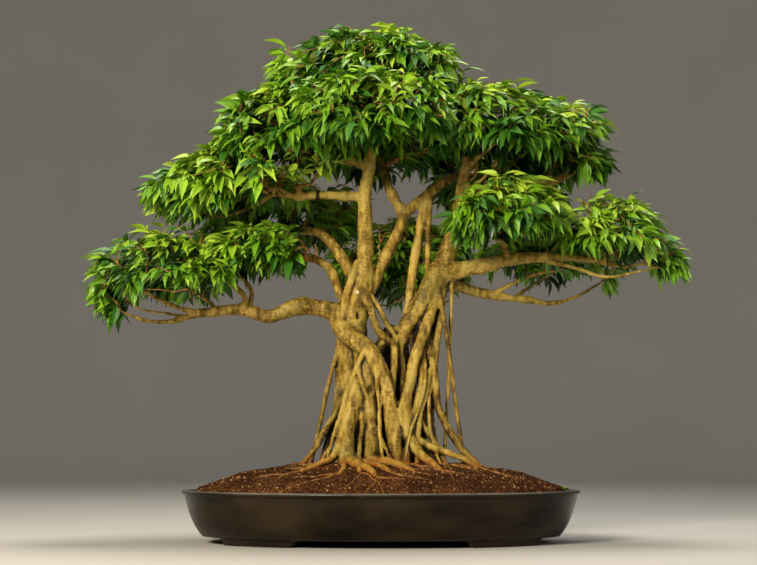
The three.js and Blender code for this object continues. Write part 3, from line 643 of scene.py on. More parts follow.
def grain_tree():
    """Scatters crumbs of many sizes over the upward faces of the soil."""
    tree, start, end = node_tree("Soil grains", {
        "Density": "NodeSocketFloat", "Seed": "NodeSocketInt", "Width": "NodeSocketFloat",
        "Material": "NodeSocketMaterial"})
    facing = add(tree, "GeometryNodeInputNormal")
    upward = add(tree, "ShaderNodeSeparateXYZ", {0: facing.outputs[0]})
    chosen = add(tree, "FunctionNodeCompare", {0: upward.outputs["Z"], 1: GRAIN_UPWARD},
                 operation="GREATER_THAN")
    points = add(tree, "GeometryNodeDistributePointsOnFaces",
                 {"Mesh": start.outputs["Geometry"], "Selection": chosen.outputs[0],
                  "Density": start.outputs["Density"], "Seed": start.outputs["Seed"]})
    ball = add(tree, "GeometryNodeMeshIcoSphere", {"Radius": 0.5, "Subdivisions": 1})
    turn = add(tree, "FunctionNodeRandomValue", {1: (6.28, 6.28, 6.28), "Seed": start.outputs["Seed"]},
               data_type="FLOAT_VECTOR")
    size = add(tree, "FunctionNodeRandomValue", {0: GRAIN_LEAST, 1: GRAIN_MOST, "Seed": 5},
               data_type="FLOAT_VECTOR")
    scaled = add(tree, "ShaderNodeVectorMath", {0: size.outputs[0], "Scale": start.outputs["Width"]},
                 operation="SCALE")
    grains = add(tree, "GeometryNodeInstanceOnPoints",
                 {"Points": points.outputs["Points"], "Instance": ball.outputs["Mesh"],
                  "Rotation": turn.outputs[0], "Scale": scaled.outputs[0]})
    return close_tree(tree, start, end, grains.outputs["Instances"])


class FIG_OT_soil(Operator):
    """Makes the mound of soil and the loose grains on it"""

    bl_idname = "fig.soil"
    bl_label = "Soil"

    def execute(self, context):
        settings = context.scene.fig_soil
        half_x, half_y = SOIL_HIGH.x, SOIL_HIGH.y
        vertices = [(0, 0, SOIL_LOW.z)]
        for side in range(SOIL_SEGMENTS):
            angle = 2 * math.pi * side / SOIL_SEGMENTS
            x, y = (half_x - SOIL_DRAFT) * math.cos(angle), (half_y - SOIL_DRAFT) * math.sin(angle)
            vertices.append((x, y, SOIL_LOW.z))
        for ring in range(SOIL_RINGS):
            share = (1 - ring / SOIL_RINGS) ** 0.85
            for side in range(SOIL_SEGMENTS):
                angle = 2 * math.pi * side / SOIL_SEGMENTS
                x, y = half_x * share * math.cos(angle), half_y * share * math.sin(angle)
                vertices.append((x, y, soil_height(x, y)))
        vertices.append((0, 0, soil_height(0, 0)))
        earth = [tuple(0.25 * c for c in settings.earth), tuple(settings.earth), linear("#865730")]
        mound_material = soil_material("moist_earth", earth, 3 * MM)
        mound_faces = lathe_faces(SOIL_RINGS + 1, SOIL_SEGMENTS)
        mound = mesh_object("soil_mound", vertices, mound_faces, mound_material)
        keep(mound, "soil", "soil")
        tree = grain_tree()
        kinds = {
            "earth_grains": (0.92, 11, soil_material("earth_crumbs", earth, 5 * MM)),
            "grit_grains": (0.08, 12, soil_material("pale_grit", [linear("#7d5c36"), tuple(settings.grit),
                                                                  linear("#c8ab78")], 5 * MM, 0.8)),
        }
        for name, (share, seed, material) in kinds.items():
            grains = bpy.data.objects.new(name, mound.data.copy())
            context.scene.collection.objects.link(grains)
            use_tree(grains, tree, {"Density": settings.density * share, "Seed": seed,
                                    "Width": settings.grain, "Material": material})
            keep(grains, "soil", "soil")
        return {"FINISHED"}


# Wood

LIMB_STEP = 5 * MM
TUBE_SIDES = 20
# How much the girth of a limb wobbles, as a share of its radius, and the shortest wobble.
GIRTH_WOBBLE = 0.14
WOBBLE_LENGTH = 20 * MM
# How far the ends of a limb are rounded, as a share of its radius.
END_ROUND = 0.4
# The skin is thinned to stay under the most triangles that one piece may have.
SKIN_TRIANGLES = 190000
# Rounds of smoothing for thin and thick limbs, after the skin is fused, the radius up to which a limb
# counts as thin, and how much more makes it thick.
THIN_ROUNDS = 3
THICK_ROUNDS = 12
THIN_RADIUS = 5 * MM
THICKER_BY = 9 * MM
# Swellings of the bark: share of the relief's height, width, and squeeze along the height. Flutes and
# lumps are full on limbs from the given radius up.
FLUTES = (0.7, 14 * MM, 0.25)
LUMPS = (0.55, 32 * MM, 1)
PIMPLES = (0.26, 7.5 * MM, 1)
WRINKLES = (0.16, 11 * MM, 2.6)
FULL_RADIUS = 16 * MM
# Painted shade in the clefts: rounds of smoothing that show the fine and the wide clefts, and how deep
# each is where its painted shade is darkest.
CLEFTS = ((50, 2.4 * MM), (240, 7 * MM))
CLEFT_START = 0.1
CLEFT_DARK = 0.8
# Painted shade in the pits of the relief: the depth that counts as fully shaded, and how dark it gets.
PIT_SHADE_DEPTH = 4.5 * MM
PIT_SHADE_MOST = 0.5
# Darkest painted shade on any place of the skin.
DARKEST_SHADE = 0.95
# Painted shade in sheltered hollows: directions that are tried for shelter at each place of the skin, how
# far, from how high over the skin and how near to it, and the shares of them that start and end the shade.
SHELTER_WAYS = 18
SHELTER_REACH = 90 * MM
SHELTER_LIFT = 1.5 * MM
SHELTER_LEAN = 0.15
SHELTER_START = 0.3
SHELTER_RANGE = 0.5
SHELTER_DARK = 0.9
# Marks on the front of the bark: place across and up, half-width, half-height, depth of the pit and
# height of the ring round it, in mm. The reach is how far back a mark goes.
KNOTS = ((-40, 390, 4, 8, 9, 1.0), (-42, 432, 3.5, 3.5, 1, 1.0), (117, 628, 6, 5, 3, 1.6),
         (12, 255, 6, 5, 3, 1.4), (-18, 262, 6, 9, 10, 1))
KNOT_REACH = 18 * MM
# Where the ring of a knot is highest and how wide it and the pit are, as shares of the knot's half-size.
RING_PLACE = 1.25
RING_WIDTH = 0.45
PIT_WIDTH = 0.7
# A pale cut: place across and up, and radius, in mm, and how much of its colour shows.
CUT_SPOT = (-42, 432, 3)
CUT_SHARE = 0.9
# A dark sunken ring round one bough: from and to across, and from and to upwards, in mm, and its depth.
DARK_RING = (-113.2, -106.8, 585, 620)
DARK_RING_DEPTH = 1.2 * MM
# How high over the soil the orange of the roots' feet reaches, how it fades, and how its patches vary.
FOOT_REACH = 24 * MM
FOOT_FADE = 1.3
FOOT_TINT = 0.68
FOOT_VARIES = 0.5
FOOT_PATCH = 18 * MM
# Old, freckled bark: least share, radius that it starts at and how much more makes it full, then the same
# for the height over the ground.
AGE_BY_GIRTH = (0.2, 6 * MM, 8 * MM)
AGE_BY_HEIGHT = (0.3, 0.2, 0.16)
# Fine roots at the foot of each root that ends under this height, in mm: their steps, their radius at the
# start and what it loses by the end, in mm, and their sides.
ROOTLETS = 2
ROOTLET_TOP = 128
ROOTLET_STEP = 6 * MM
ROOTLET_STEPS = (8, 20)
ROOTLET_RADII = (1.7, 1.2)
ROOTLET_SIDES = 5
# Rounds of smoothing that blend the tones of neighbouring strands.
STRAND_ROUNDS = 5


def limb_points(points, step):
    """Points along the smooth curve through a limb's points (centripetal Catmull-Rom), a step apart."""
    known = np.array(points, float) * MM
    known = np.vstack([2 * known[0] - known[1], known, 2 * known[-1] - known[-2]])
    found = []
    for p0, p1, p2, p3 in zip(known, known[1:], known[2:], known[3:]):
        d0, d1, d2 = (math.sqrt(np.linalg.norm(b - a)) for a, b in ((p0, p1), (p1, p2), (p2, p3)))
        m1 = d1 * ((p1 - p0) / d0 - (p2 - p0) / (d0 + d1) + (p2 - p1) / d1)
        m2 = d1 * ((p2 - p1) / d1 - (p3 - p1) / (d1 + d2) + (p3 - p2) / d2)
        count = max(2, math.ceil(np.linalg.norm(p2 - p1) / step))
        for t in np.arange(count) / count:
            found.append((2 * t**3 - 3 * t**2 + 1) * p1 + (t**3 - 2 * t**2 + t) * m1
                         + (3 * t**2 - 2 * t**3) * p2 + (t**3 - t**2) * m2)
    found.append(known[-2])
    return np.array(found)


def back_roots():
    """The roots round the back, from high on the trunk out to the soil, with a thin one beside each."""
    rng = random.Random(BACK_ROOTS["seed"])
    middle_x, middle_y = BACK_ROOTS["middle"]
    apart = (BACK_ROOTS["to"] - BACK_ROOTS["from"]) / (BACK_ROOTS["count"] - 1)
    stray, sway = BACK_ROOTS["stray"], BACK_ROOTS["sway"]
    roots = []
    for number in range(BACK_ROOTS["count"]):
        for beside, scale in BACK_ROOTS["kinds"]:
            turn = BACK_ROOTS["from"] + apart * (number + beside + rng.uniform(-stray, stray))
            leans = [rng.uniform(-sway, sway) for _ in BACK_ROOTS["stations"]]
            spread = rng.uniform(*BACK_ROOTS["spread"])
            line = []
            for (reach, height), lean in zip(BACK_ROOTS["stations"], leans):
                angle = math.radians(turn + lean)
                x = middle_x + spread * reach * math.cos(angle)
                y = middle_y + spread * reach * math.sin(angle)
                line.append((x, y, height))
            girth = scale * rng.uniform(*BACK_ROOTS["girth"])
            roots.append((girth * BACK_ROOTS["thick"], girth * BACK_ROOTS["thin"], line))
    return roots


def all_limbs():
    """Every limb of the plant, with its points in metres and its radius at each of them."""
    limbs = []
    branches = [branch for group in BRANCHES.values() for branch in group]
    for thick, thin, line in (TRUNK_STEMS + FUSED_ROOTS + THIN_STRAPS + back_roots() + HANGING_ROOTS
                              + list(BOUGHS.values()) + branches):
        points = limb_points(line, LIMB_STEP)
        radii = np.linspace(thick, thin, len(points)) * MM
        limbs.append((points, radii))
    return limbs


def limb_index():
    """A search tree over the middles of all limbs, and the radius and the limb's number at each."""
    limbs = all_limbs()
    tree = kdtree.KDTree(sum(len(points) for points, _ in limbs))
    girths, owners = [], []
    for number, (points, radii) in enumerate(limbs):
        for at, radius in zip(points, radii):
            tree.insert(at, len(girths))
            girths.append(radius)
            owners.append(number)
    tree.balance()
    return tree, girths, owners


def tube(points, radii, sides):
    """Vertices and faces of a closed round limb, with a wobble in its girth."""
    vertices = []
    tangents = np.gradient(points, axis=0)
    tangents /= np.linalg.norm(tangents, axis=1)[:, None]
    across = np.cross(tangents[0], (0.3, 1, 0.2))
    for at, radius, along in zip(points, radii, tangents):
        across = across - along * across.dot(along)
        across /= np.linalg.norm(across)
        other = np.cross(along, across)
        wobble = noise.noise(Vector(at) * per_metre(max(WOBBLE_LENGTH, 2 * radius)))
        girth = radius * (1 + GIRTH_WOBBLE * wobble)
        for side in range(sides):
            turn = 2 * math.pi * side / sides
            vertices.append(at + girth * (math.cos(turn) * across + math.sin(turn) * other))
    vertices.insert(0, points[0] - tangents[0] * radii[0] * END_ROUND)
    vertices.append(points[-1] + tangents[-1] * radii[-1] * END_ROUND)
    return vertices, lathe_faces(len(points), sides)


def fused_skin(settings):
    """One closed skin over all limbs, with no relief yet."""
    vertices, faces = [], []
    for points, radii in all_limbs():
        made, sides = tube(points, radii, TUBE_SIDES)
        faces += [[index + len(vertices) for index in face] for face in sides]
        vertices += made
    wood = mesh_object("bark_wood", vertices, faces)
    remesh = wood.modifiers.new("Fuse", "REMESH")
    remesh.mode = "VOXEL"
    remesh.voxel_size = settings.voxel
    return plain(wood)


def read_rows(items, name, width, kind):
    """One property of all of a mesh's vertices or edges, as rows of numbers."""
    values = np.empty(len(items) * width, kind)
    items.foreach_get(name, values)
    return values.reshape(-1, width)


def smoothed(places, edges, rounds):
    """Vertex places after rounds of moving each halfway towards the mean of its neighbours."""
    count = np.bincount(edges.ravel(), minlength=len(places))[:, None]
    places = places.copy()
    for _ in range(rounds):
        total = np.zeros_like(places)
        for axis in range(3):
            total[:, axis] = np.bincount(edges[:, 0], places[edges[:, 1], axis], len(places))
            total[:, axis] += np.bincount(edges[:, 1], places[edges[:, 0], axis], len(places))
        places += 0.5 * (total / count - places)
    return places


def swelling(at, share, width, squeeze):
    """How far one pattern of the bark lifts a place, as a share of the relief's height."""
    return share * noise.noise(Vector((at[0], at[1], squeeze * at[2])) * per_metre(width))


def bark_relief(places, girths, height):
    """How far each place of the skin swells: flutes along the limb, lumps, and fine wrinkles across it."""
    lift = np.zeros(len(places))
    for number, (at, girth) in enumerate(zip(places, girths)):
        size = min(1, girth / FULL_RADIUS)
        lift[number] = height * (size * (swelling(at, *FLUTES) + swelling(at, *LUMPS))
                                 + swelling(at, *PIMPLES) + swelling(at, *WRINKLES))
    return lift


def knot_marks(places):
    """How far the skin sinks in the pits of the knots and rises in the rings round them."""
    lift = np.zeros(len(places))
    for across, up, half_width, half_height, depth, ring in KNOTS:
        away_x = (places[:, 0] - across * MM) / (half_width * MM)
        away_z = (places[:, 2] - up * MM) / (half_height * MM)
        near = np.hypot(away_x, away_z) < 1
        if not near.any():
            raise RuntimeError(f"no bark at the knot {across}, {up}")
        front = places[near][:, 1].min()
        share = np.hypot(np.hypot(away_x, away_z), (places[:, 1] - front) / KNOT_REACH)
        rise = ring * np.exp(-((share - RING_PLACE) / RING_WIDTH) ** 2)
        lift += MM * (rise - depth * np.exp(-(share / PIT_WIDTH) ** 2))
    return lift


def shelter(mesh, places, normals):
    """Share of the open directions at each place of the skin that other wood shuts off."""
    tree = BVHTree.FromPolygons(places.tolist(), [face.vertices for face in mesh.polygons])
    ways = []
    for index in range(SHELTER_WAYS):
        height = 1 - 2 * (index + 0.5) / SHELTER_WAYS
        ring = math.sqrt(1 - height * height)
        turn = index * GOLDEN_ANGLE
        ways.append(Vector((ring * math.cos(turn), ring * math.sin(turn), height)))
    shut = np.zeros(len(places))
    for number, (at, normal) in enumerate(zip(places, normals)):
        normal = Vector(normal)
        start = Vector(at) + normal * SHELTER_LIFT
        open_ways = [way for way in ways if way.dot(normal) > SHELTER_LEAN]
        hits = sum(tree.ray_cast(start, way, SHELTER_REACH)[0] is not None for way in open_ways)
        shut[number] = hits / len(open_ways)
    return shut


def paint_skin_shade(mesh, places, normals, edges, lift):
    """How much shade is painted on each place of the skin, in pits of the relief, in clefts and in hollows.
    """
    crease = np.clip(-lift / PIT_SHADE_DEPTH, 0, PIT_SHADE_MOST)
    for rounds, depth in CLEFTS:
        hollow = ((smoothed(places, edges, rounds) - places) * normals).sum(1)
        crease += np.clip(hollow / depth - CLEFT_START, 0, CLEFT_DARK)
    shut = shelter(mesh, places, normals)
    crease += np.clip((shut - SHELTER_START) / SHELTER_RANGE, 0, SHELTER_DARK)
    return crease


def foot_tint(places):
    """How orange each place of the skin is, by its height over the soil, in patches."""
    above = np.array([at[2] - soil_height(at[0], at[1]) for at in places])
    tint = np.clip(1 - above / FOOT_REACH, 0, 1) ** FOOT_FADE
    tint *= np.array([FOOT_TINT + FOOT_VARIES * noise.noise(Vector(at) * per_metre(FOOT_PATCH))
                      for at in places])
    return tint


def bark_age(places, girths):
    """How old and freckled the bark is: most on thick limbs, high over the soil."""
    least, start, more = AGE_BY_GIRTH
    least_up, start_up, more_up = AGE_BY_HEIGHT
    by_girth = np.clip((girths - start) / more, least, 1)
    return by_girth * np.clip((places[:, 2] - start_up) / more_up, least_up, 1)


def bark_material(settings):
    """Old fig bark: olive tan patches, freckles, wrinkles across, painted shade in clefts, orange at the
    soil.
    """
    material, tree, output = new_material("fig_bark")
    place = add(tree, "ShaderNodeTexCoord").outputs["Object"]
    flat = add(tree, "ShaderNodeMapping", {"Vector": place, "Scale": (1, 1, 3)}).outputs["Vector"]
    long = add(tree, "ShaderNodeMapping", {"Vector": place, "Scale": (1, 1, 0.3)}).outputs["Vector"]
    patterns = {}
    for name, at, size, detail, roughness in (
            ("patches", place, 40 * MM, 6, 0.62), ("moss", place, 80 * MM, 4, 0.5),
            ("freckles", place, 3.6 * MM, 3, 0.65), ("wrinkles", flat, 11 * MM, 4, 0.7),
            ("streaks", long, 7 * MM, 4, 0.5)):
        made = add(tree, "ShaderNodeTexNoise", {
            "Vector": at, "Scale": per_metre(size), "Detail": detail, "Roughness": roughness})
        patterns[name] = made.outputs["Fac"]
    marks = {name: add(tree, "ShaderNodeAttribute", attribute_name=name).outputs["Fac"]
             for name in ("strand", "age", "foot", "crease", "cut")}
    own = add(tree, "ShaderNodeMath", {0: marks["strand"], 1: 0.11, 2: patterns["streaks"]},
              operation="MULTIPLY_ADD")
    both = add(tree, "ShaderNodeMath", {0: own.outputs["Value"], 1: patterns["patches"]}, operation="ADD")
    half = add(tree, "ShaderNodeMath", {0: both.outputs["Value"], 1: 0.5}, operation="MULTIPLY")
    base = add(tree, "ShaderNodeValToRGB", {"Fac": half.outputs["Value"]},
               stops=[(0.36, settings.brown), (0.47, settings.tan), (0.58, settings.pale)])
    shares = {}
    for name, low, high, most in (("moss", 0.5, 0.66, 0.5), ("freckles", 0.5, 0.64, 0.6),
                                  ("wrinkles", 0.54, 0.7, 0.5)):
        made = add(tree, "ShaderNodeMapRange", {
            "Value": patterns[name], "From Min": low, "From Max": high, "To Min": 0, "To Max": most})
        shares[name] = made.outputs["Result"]
    aged = add(tree, "ShaderNodeMath", {0: shares["freckles"], 1: marks["age"]}, operation="MULTIPLY")
    tone = base.outputs["Color"]
    # Each mix lays a colour over the last: green bloom, freckles, pale wrinkles, orange at the soil,
    # painted shade in clefts and hollows (near-black), and the pale cut.
    for share, tint in ((shares["moss"], settings.moss), (aged.outputs["Value"], linear("#35270a")),
                        (shares["wrinkles"], linear("#d0b468")), (marks["foot"], linear("#8e4a12")),
                        (marks["crease"], linear("#0d0802")), (marks["cut"], linear("#e6dfc0"))):
        tone = add(tree, "ShaderNodeMix", {0: share, 6: tone, 7: (*tint, 1)}, data_type="RGBA").outputs[2]
    rough = add(tree, "ShaderNodeMapRange", {
        "Value": patterns["patches"], "From Min": 0.35, "From Max": 0.65, "To Min": 0.8, "To Max": 0.4})
    coarse = add(tree, "ShaderNodeBump", {
        "Height": patterns["wrinkles"], "Strength": 0.7, "Distance": 1.4 * MM})
    fine = add(tree, "ShaderNodeBump", {
        "Height": patterns["freckles"], "Strength": 0.6, "Distance": 0.8 * MM,
        "Normal": coarse.outputs["Normal"]})
    shader = add(tree, "ShaderNodeBsdfPrincipled", {
        "Base Color": tone, "Specular IOR Level": 0.22, "Roughness": rough.outputs["Result"],
        "Normal": fine.outputs["Normal"]})
    tree.links.new(shader.outputs["BSDF"], output.inputs["Surface"])
    return material


def rootlets(settings):
    """Points, edges and radii of fine roots that run out over the soil from the feet of the large ones."""
    rng = random.Random(settings.seed)
    points, edges, radii = [], [], []
    thick, taper = ROOTLET_RADII
    for _, _, line in FUSED_ROOTS + THIN_STRAPS + back_roots():
        (x0, y0, _), (x1, y1, foot) = line[-2:]
        for _ in range(ROOTLETS if foot < ROOTLET_TOP else 0):
            heading = math.atan2(y1 - y0, x1 - x0) + rng.uniform(-0.9, 0.9)
            x, y = (x0 + 0.8 * (x1 - x0)) * MM, (y0 + 0.8 * (y1 - y0)) * MM
            count = rng.randrange(*ROOTLET_STEPS)
            for step in range(count):
                radius = (thick - taper * step / count) * MM
                points.append((x, y, soil_height(x, y) + radius * rng.uniform(0, 0.9)))
                radii.append(radius)
                if step:
                    edges.append((len(points) - 2, len(points) - 1))
                heading += rng.gauss(0, 0.3)
                x += ROOTLET_STEP * math.cos(heading)
                y += ROOTLET_STEP * math.sin(heading)
    return points, edges, radii


class FIG_OT_wood(Operator):
    """Fuses trunk, roots and boughs into one skin with the bark's relief"""

    bl_idname = "fig.wood"
    bl_label = "Wood"

    def execute(self, context):
        settings = context.scene.fig_wood
        wood = fused_skin(settings)
        mesh = wood.data
        places = read_rows(mesh.vertices, "co", 3, np.float32).astype(float)
        edges = read_rows(mesh.edges, "vertices", 2, np.int32)
        index, limb_girths, owners = limb_index()
        nearest = [index.find(at)[1] for at in places]
        girths = np.array(limb_girths)[nearest]
        rng = random.Random(settings.seed)
        tones = np.array([rng.uniform(-1, 1) for _ in range(max(owners) + 1)])[np.array(owners)[nearest]]
        tones = smoothed(np.repeat(tones[:, None], 3, 1), edges, STRAND_ROUNDS)[:, 0]
        places = smoothed(places, edges, THIN_ROUNDS)
        thickness = np.clip((girths - THIN_RADIUS) / THICKER_BY, 0, 1)[:, None]
        places += thickness * (smoothed(places, edges, THICK_ROUNDS) - places)
        mesh.vertices.foreach_set("co", places.astype(np.float32).ravel())
        mesh.update()
        normals = read_rows(mesh.vertices, "normal", 3, np.float32).astype(float)
        lift = bark_relief(places, girths, settings.relief) + knot_marks(places)
        # Painted shade: the bark is coloured darker in pits of the relief, in clefts and in hollows that
        # other wood shelters.
        crease = paint_skin_shade(mesh, places, normals, edges, lift)
        places += normals * lift[:, None]
        foot = foot_tint(places)
        age = bark_age(places, girths)
        across, up, radius = (size * MM for size in CUT_SPOT)
        cut = CUT_SHARE * (np.hypot(places[:, 0] - across, places[:, 2] - up) < radius)
        # The dark ring is sunk into the skin and given the darkest tone of the painted shade.
        left, right, low, high = (edge * MM for edge in DARK_RING)
        ring = (places[:, 0] > left) & (places[:, 0] < right) & (places[:, 2] > low) & (places[:, 2] < high)
        crease[ring] = 1
        places[ring] -= normals[ring] * DARK_RING_DEPTH
        mesh.vertices.foreach_set("co", places.astype(np.float32).ravel())
        for name, values in (("crease", np.clip(crease, 0, DARKEST_SHADE)), ("foot", foot), ("cut", cut),
                             ("strand", tones), ("age", age)):
            made = mesh.attributes.new(name, "FLOAT", "POINT")
            made.data.foreach_set("value", values.astype(np.float32))
        thinning = wood.modifiers.new("Thin", "DECIMATE")
        thinning.ratio = min(1, SKIN_TRIANGLES / sum(len(face.vertices) - 2 for face in mesh.polygons))
        plain(wood)
        wood.data.materials.clear()
        wood.data.materials.append(bark_material(settings))
        wood.data.polygons.foreach_set("use_smooth", [True] * len(wood.data.polygons))
        wood.data.update()
        keep(wood, "bark", *WOOD_NAMES)
        bark = twig_material("rootlet_bark", ("#6b4218", "#8f5f24", "#a98040"))
        twig_object("rootlets", *rootlets(settings), ROOTLET_SIDES, bark, WOOD_NAMES)
        return {"FINISHED"}


# Crown

# How low the shoots of a mass start and how far its outer edge hangs, as shares of its half-height, how
# far out its shoots reach and how much more painted light than others its leaves get.
HABIT = (-0.38, 0.34, 1.0, 0.0)
HABITS = {
    "apex_leaves": (-0.25, 0.34, 1.07, -0.04),
    "upper_left_leaves": (-0.5, 0.5, 1.0, 0.04),
    "mid_left_leaves": (-0.5, 0.5, 0.97, 0.25),
    "lower_left_leaves": (-0.06, 0.5, 1.06, 0.03),
    "left_inner_leaves": (-0.3, 0.2, 1.0, 0.0),
    "lower_right_leaves": (-0.04, 0.66, 1.0, 0.08),
    "right_inner_leaves": (-0.38, 0.34, 1.0, 0.08),
    "right_outer_leaves": (-0.26, 0.34, 1.0, 0.04),
    "under_right_leaves": (0.1, 0.2, 1.0, 0.0),
    "back_centre_leaves": (-0.5, 0.34, 1.0, 0.0),
}
# How far past its skin a mass still owns a shoot, as a share of the way from its middle.
OWNED_REACH = 1.03
# Shares of the way from the middle of a mass to its skin between which shoots end, and how they vary.
TIP_SHELL = (0.64, 1.0)
TIP_VARIES = (0.88, 1.02)
# Power in the usual near-formula for the surface of an ellipsoid.
SURFACE_POWER = 1.6
# Width and height of the tufts that the shoots of a mass gather in, how far the clefts between them lie
# back, as a share of the way to the middle, and how near a cleft no shoot ends.
TUFT = Vector((112, 112, 66)) * MM
CLEFT_DEPTH = 0.28
CLEFT_WIDTH = 0.12
# Size, thinness and painted light of the outer layer of shoots and of the inner one that closes the gaps
# between them; the inner layer's low light paints its leaves in shade.
LAYERS = ((1.0, 0.97, 1.0), (0.7, 1.25, 0.38))
# Points at the end of a bough that arms and twigs leave from.
BOUGH_POINTS = 26
# Arms that a bough's end spreads into: how many, their radii as shares of the bough's, how far out they
# reach and how far they rise, as shares of the mass's half-sizes.
ARM_COUNT = 6
ARM_GIRTH = (0.55, 0.16)
ARM_REACH = 0.78
ARM_RISE = (-0.05, 0.4)
# Shoots at the ends of the branches under a mass: how far they turn aside and up, their length in mm,
# their painted light.
SPUR_TURN = 0.9
SPUR_RISE = (0.3, 0.8)
SPUR_LENGTH = (34, 52)
SPUR_LIGHT = 0.9
# Twigs: distance between their points, how far they keep their direction at both ends, as shares of their
# length, how much they waver, the least length of a side twig, and how much a turn costs when a fork is
# chosen.
NODE_STEP = 11 * MM
TWIG_KEEPS = (0.38, 0.3)
TWIG_WAVERS = 1.3 * MM
FORK_REACH = 14 * MM
TURN_COST = 0.55
# Radius of a shoot's tip, how the radius grows with the tips that are carried, how much thicker than
# itself a side twig may start, and the radius from which a twig is a branch.
TIP_RADIUS = 0.75 * MM
PIPE_POWER = 0.5
FORK_SWELL = 1.25
BRANCH_RADIUS = 1.7 * MM
# Sides of a branch and of a twig.
BRANCH_SIDES = 7
TWIG_SIDES = 4
# Painted light of a shoot, which sets how light or dark its leaves are coloured: how much comes from above,
# from standing far out and by chance, and how far round the underside some still comes from above.
LIGHT_ABOVE = 0.36
LIGHT_OUTSIDE = 0.34
LIGHT_CHANCE = 0.38
LIGHT_ROUND = 0.3
# Kinds of leaves by colour, which paint light and shade, and the least painted light of those that stand
# in more than painted shade.
LEAF_KINDS = ("young", "bright", "middle", "cool", "deep", "shade")
KIND_LIGHT = (("young", 0.93), ("bright", 0.7), ("middle", 0.48), ("deep", 0.27))
# Some sprays in more than this painted light get, by this chance, the blue-green that paints a sky
# reflection.
COOL_LIGHT = 0.3
COOL_CHANCE = 0.12
YOUNG_CHANCE = 0.2
BUD_CHANCE = 0.5
# Arch and fold of each shape of leaf, as shares of its length.
LEAF_SHAPES = ((0.28, 0.5), (0.44, 0.36), (0.62, 0.5))
# A blade of unit length: places along it, half-width, and the scale that makes its outline 1 at the
# widest.
LEAF_STATIONS = (0.07, 0.24, 0.46, 0.68, 0.86)
LEAF_HALF = 0.19
LEAF_FULLEST = 4.545
# Its stalk: from the shoot to the blade, drawn length, half-width and lift.
STALK = 0.2
STALK_DRAWN = 0.22
STALK_HALF = 0.014
STALK_LIFT = 0.02
# Leaves on a shoot: how far apart, how far the first is from the tip, their sizes, the size of that first
# one and how far it turns aside.
LEAF_STEP = 6.6 * MM
FIRST_LEAF = 1.5 * MM
LEAF_SIZES = (0.6, 1.14)
END_SIZE = 0.7
END_TURN = 0.4
# How far a leaf turns aside from its shoot, how far it hangs on the side and on top of a mass and how
# that varies, in degrees, how far it may rise, and how much it twists, in radians.
LEAF_SPREAD = (5, 76)
LEAF_HANGS = 17
LEAF_LIFTS = 32
LEAF_VARIES = 24
LEAF_RISES = 28
LEAF_TWIST = 0.45
# What a leaf's direction follows: its shoot, its place on the mass and the way out from the trunk.
FOLLOWS_SHOOT = 0.7
FOLLOWS_PLACE = 0.8
FOLLOWS_TRUNK = 0.75
# Leaves in one piece, how far they may stand past the box of the solids, and how far they keep from the
# wood.
PIECE_LEAVES = 8500
LEAF_PROUD = 15 * MM
LEAF_CLEAR = 4 * MM
# A seedling by the pot's right edge.
SPROUT = Vector((316, -34)) * MM
SPROUT_LEAVES = 9
SPROUT_LIFT = 2 * MM
SPROUT_SIZE = 0.3


class Mass:
    """One mass of leaves: the dome it fills and the limb that it grows on from."""

    def __init__(self, name):
        bough, middle, half = MASSES[name]
        self.name = name
        self.middle = Vector(middle) * MM
        self.half = Vector(half) * MM
        self.outward = Vector((middle[0], middle[1], 0)).normalized()
        _, thin, line = BOUGHS[bough]
        self.limb = [Vector(at) for at in limb_points(line, LIMB_STEP)[-BOUGH_POINTS:]]
        self.girth = thin * MM
        self.lowest, self.sag, self.spread, self.sun = HABITS.get(name, HABIT)

    def shares(self, point):
        """A point's place in the dome, each way a share of the half-size."""
        away = point - self.middle
        return Vector((away.x / self.half.x, away.y / self.half.y, away.z / self.half.z))

    def depth(self, point):
        """How far out a point lies: 0 in the middle of the dome, 1 on its skin."""
        return self.shares(point).length


def owned(mass, masses, point):
    """True where a point lies in the mass and no deeper in another."""
    depth = mass.depth(point)
    if depth >= OWNED_REACH * mass.spread:
        return False
    return all(other is mass or other.depth(point) > depth for other in masses)


